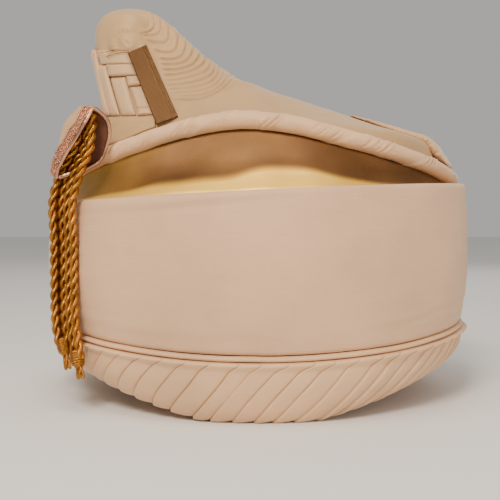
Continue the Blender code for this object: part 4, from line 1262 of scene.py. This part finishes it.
class TURBAN_OT_tassel(bpy.types.Operator):
    """Makes the tassel's twisted cords"""

    bl_idname = "turban.tassel"
    bl_label = "Tassel"

    def execute(self, context):
        pitch = sizes().cord_pitch
        parts = []
        for cord in TASSEL_CORDS:
            share = np.linspace(0.0, cord.end, 320)
            path = tassel_point(share, cord.across, cord.layer)
            way = sight(92.0 + cord.across, 114.0)
            top = np.array(EYE + way * ((path[0][1] + 0.004 - EYE.y) / way.y))
            lead = top + (path[0] - top) * np.linspace(0, 1, 30, endpoint=False)[:, None]
            path = np.concatenate([lead, path])
            run = lengths_along(path)
            side, up = ways_across(path)
            for ply in (0, math.pi):
                spin = (ply + cord.twist - 2 * math.pi * run / pitch)[:, None]
                middle = path + (np.cos(spin) * side + np.sin(spin) * up) * CORD_RADIUS * 0.56
                parts.append(tube(middle, CORD_RADIUS * 0.58, 10, 0.6))
        for end in TASSEL_ENDS:
            parts += self.bound_end(end)
        tassel = tubes("tassel_cords", parts)
        wear(tassel, finish_of("gold cord"), "gold_cord", "tassel")
        return {"FINISHED"}

    def bound_end(self, end):
        """A whipped knob and the loose loops under it."""
        shares = np.array([end.share, end.share + 0.02])
        start, below = tassel_point(shares, end.across, end.layer)
        down = (below - start) / np.linalg.norm(below - start)
        out = np.array([start[0], start[1], 0.0])
        out /= np.linalg.norm(out)
        side = np.cross(down, out)
        side /= np.linalg.norm(side)
        out = np.cross(side, down)
        t = np.linspace(0, 1, 150)[:, None]
        spin = t * 2 * math.pi * 6
        girth = CORD_RADIUS * (1.15 + 0.35 * np.sin(math.pi * t))
        whip = start + down * (t * 0.0085 - 0.002) + girth * (np.cos(spin) * side + np.sin(spin) * out)
        parts = [tube(whip, 0.00075, 8)]
        parts.append(tube(start + down * np.linspace(-0.003, 0.008, 12)[:, None], CORD_RADIUS * 1.1, 12, 0.7))
        foot = start + down * 0.006
        loops = ((-0.0022, 0.0, 1.0), (0.0004, 0.0014, 0.84), (0.0026, 0.0003, 0.94))
        for k, (shift, lift, reach) in enumerate(loops):
            turn = np.linspace(0.04, 0.96, 40)[:, None] * math.pi
            wide = 0.0016 + 0.0003 * k
            loop = foot + side * (shift * np.sin(turn) + wide * np.cos(turn)) + out * lift * np.sin(turn)
            loop = loop + down * (end.loops * 0.001 * reach - 0.004) * np.sin(turn) ** 0.8
            parts.append(tube(loop, 0.00080, 8))
        return parts


class TURBAN_PT_sidebar(bpy.types.Panel):
    """Lists the turban's pieces"""

    bl_idname = "TURBAN_PT_sidebar"
    bl_label = "Tied turban"
    bl_space_type = "VIEW_3D"
    bl_region_type = "UI"
    bl_category = "Turban"

    def draw(self, context):
        for group in (context.scene.turban_sizes, context.scene.turban_colours):
            for name in group.__annotations__:
                self.layout.prop(group, name)
        for operator in PIECE_ORDER:
            self.layout.operator(operator.bl_idname)


PIECE_ORDER = (
    TURBAN_OT_stage, TURBAN_OT_rim, TURBAN_OT_band, TURBAN_OT_panel, TURBAN_OT_roll,
    TURBAN_OT_crown, TURBAN_OT_strips, TURBAN_OT_ornament, TURBAN_OT_tassel,
)
CLASSES = (TurbanSizes, TurbanColours, *PIECE_ORDER, TURBAN_PT_sidebar)


def register():
    for item in CLASSES:
        bpy.utils.register_class(item)
    bpy.types.Scene.turban_sizes = bpy.props.PointerProperty(type=TurbanSizes)
    bpy.types.Scene.turban_colours = bpy.props.PointerProperty(type=TurbanColours)


def unregister():
    del bpy.types.Scene.turban_colours
    del bpy.types.Scene.turban_sizes
    for item in reversed(CLASSES):
        bpy.utils.unregister_class(item)


def main():
    register()
    for item in PIECE_ORDER:
        group, name = item.bl_idname.split(".")
        getattr(getattr(bpy.ops, group), name)()
    bpy.context.view_layer.update()


if __name__ == "__main__":
    main()
